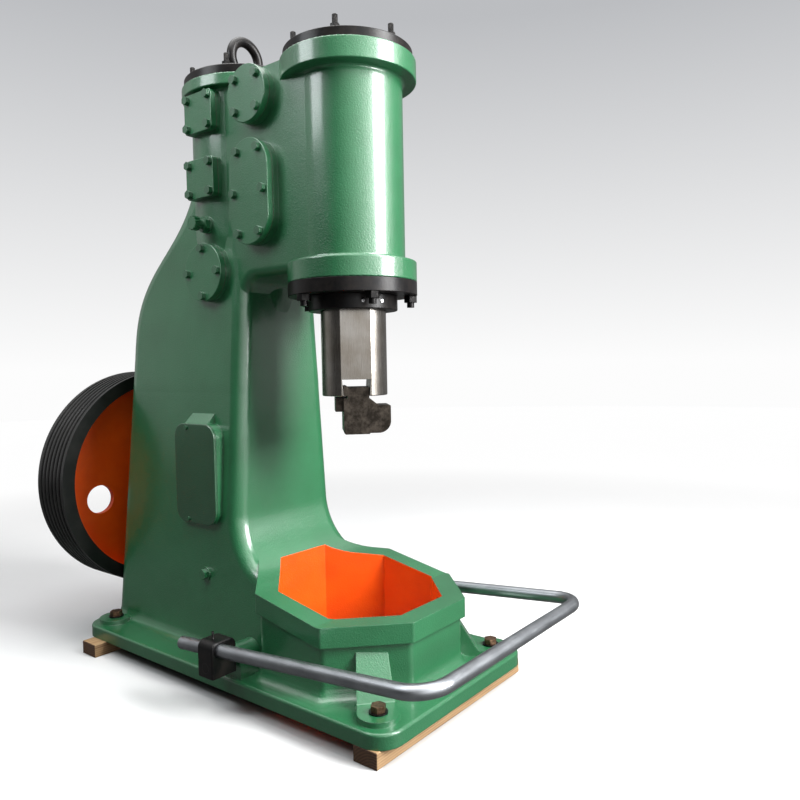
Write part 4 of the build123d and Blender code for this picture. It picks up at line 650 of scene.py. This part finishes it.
def studio_world():
    """Backdrop colours for the camera, and a dim even light for everything else."""
    world = bpy.data.worlds.new("studio")
    bpy.context.scene.world = world
    world.use_nodes = True
    nodes, links = world.node_tree.nodes, world.node_tree.links
    nodes.clear()
    place = nodes.new("ShaderNodeTexCoord")
    split = nodes.new("ShaderNodeSeparateXYZ")
    links.new(place.outputs["Generated"], split.inputs["Vector"])
    fade = nodes.new("ShaderNodeValToRGB")
    stops = fade.color_ramp.elements
    stops[0].position, stops[0].color = 0.0, (0.98, 0.98, 0.98, 1)
    stops[1].position, stops[1].color = 0.42, (0.50, 0.51, 0.53, 1)
    links.new(split.outputs["Z"], fade.inputs["Fac"])
    bearing = nodes.new("ShaderNodeMath")
    bearing.operation = "ARCTAN2"
    links.new(split.outputs["Y"], bearing.inputs[0])
    links.new(split.outputs["X"], bearing.inputs[1])
    share = nodes.new("ShaderNodeMapRange")
    share.inputs["From Min"].default_value = -math.pi
    share.inputs["From Max"].default_value = math.pi
    links.new(bearing.outputs["Value"], share.inputs["Value"])
    panels = nodes.new("ShaderNodeValToRGB")
    while len(panels.color_ramp.elements) < len(PANELS):
        panels.color_ramp.elements.new(0.5)
    for stop, (degrees, light) in zip(panels.color_ramp.elements, PANELS):
        stop.position = degrees / 360 + 0.5
        stop.color = (light, light, light, 1)
    links.new(share.outputs["Result"], panels.inputs["Fac"])
    ceiling = nodes.new("ShaderNodeMapRange")
    ceiling.inputs["From Min"].default_value = 0.55
    ceiling.inputs["From Max"].default_value = 0.85
    links.new(split.outputs["Z"], ceiling.inputs["Value"])
    room = nodes.new("ShaderNodeMix")
    room.data_type = "RGBA"
    room.inputs[7].default_value = (0.8, 0.8, 0.8, 1)
    links.new(ceiling.outputs["Result"], room.inputs["Factor"])
    links.new(panels.outputs["Color"], room.inputs[6])
    rays = nodes.new("ShaderNodeLightPath")
    backdrop = nodes.new("ShaderNodeBackground")
    links.new(fade.outputs["Color"], backdrop.inputs["Color"])
    mirrored = nodes.new("ShaderNodeBackground")
    mirrored.inputs["Strength"].default_value = PANEL_STRENGTH
    links.new(room.outputs[2], mirrored.inputs["Color"])
    fill = nodes.new("ShaderNodeBackground")
    fill.inputs["Color"].default_value = (0.95, 0.98, 1.0, 1)
    fill.inputs["Strength"].default_value = FILL_STRENGTH
    shiny = nodes.new("ShaderNodeMixShader")
    links.new(rays.outputs["Is Glossy Ray"], shiny.inputs["Fac"])
    links.new(fill.outputs["Background"], shiny.inputs[1])
    links.new(mirrored.outputs["Background"], shiny.inputs[2])
    seen = nodes.new("ShaderNodeMixShader")
    links.new(rays.outputs["Is Camera Ray"], seen.inputs["Fac"])
    links.new(shiny.outputs["Shader"], seen.inputs[1])
    links.new(backdrop.outputs["Background"], seen.inputs[2])
    out = nodes.new("ShaderNodeOutputWorld")
    links.new(seen.outputs["Shader"], out.inputs["Surface"])


studio_world()

# %% [markdown]
# ## Lamps
# A large soft lamp stands to the right of the camera and gives the front cylinder its long vertical
# highlight. One over the top lights the flanges and the rim of the well, and a weak one on the left
# gives the head's covered side its pale sheen. Large lamps give soft shadow edges, as in a studio.


# %% Lamps
def softbox(name, place, aim, width, height, power, tint=(1.0, 1.0, 1.0)):
    """A rectangular lamp that faces a point."""
    lamp = bpy.data.lights.new(name, "AREA")
    lamp.shape = "RECTANGLE"
    lamp.size, lamp.size_y = width, height
    lamp.energy = power
    lamp.color = tint
    holder = bpy.data.objects.new(name, lamp)
    holder.location = place
    holder.rotation_euler = (Vector(aim) - Vector(place)).to_track_quat("-Z", "Y").to_euler()
    bpy.context.scene.collection.objects.link(holder)
    return holder


middle = Vector((-0.3, 0.0, 0.95))
softbox("key lamp", (3.3, 0.9, 2.6), middle, 1.5, 3.2, 430)
softbox("top lamp", (-0.2, -0.4, 4.6), middle, 3.2, 3.2, 130)
softbox("side lamp", (-1.2, -2.2, 2.9), Vector((-0.5, 0.0, 1.9)), 1.2, 1.0, 36, (0.93, 0.97, 1.0))

# %% [markdown]
# ## Camera
# The photograph was taken from a little under two metres away at the height of a sitting person,
# off the machine's front corner, and the camera leaned by one degree. The place, the two angles and
# the lens were worked out from the hammer's own straight edges.

# %% Camera
CAMERA_PLACE = (1.4640, -1.6434, 0.9818)
CAMERA_AZIMUTH = math.radians(38.15)
CAMERA_PITCH = math.radians(-2.85)
CAMERA_ROLL = math.radians(-1.06)
CAMERA_LENS = 32.58
sight = Vector((-math.sin(CAMERA_AZIMUTH) * math.cos(CAMERA_PITCH),
                math.cos(CAMERA_AZIMUTH) * math.cos(CAMERA_PITCH), math.sin(CAMERA_PITCH)))
right = Vector((math.cos(CAMERA_AZIMUTH), math.sin(CAMERA_AZIMUTH), 0.0))
up = right.cross(sight)
lean_right = math.cos(CAMERA_ROLL) * right + math.sin(CAMERA_ROLL) * up
lean_up = -math.sin(CAMERA_ROLL) * right + math.cos(CAMERA_ROLL) * up
lens = bpy.data.cameras.new("camera")
lens.lens = CAMERA_LENS
lens.sensor_width = 36.0
lens.clip_start, lens.clip_end = 0.05, 60.0
camera = bpy.data.objects.new("camera", lens)
turn = Matrix((lean_right, lean_up, -sight)).transposed().to_4x4()
camera.matrix_world = Matrix.Translation(CAMERA_PLACE) @ turn
bpy.context.scene.collection.objects.link(camera)
bpy.context.scene.camera = camera
bpy.context.scene.view_settings.view_transform = "Standard"
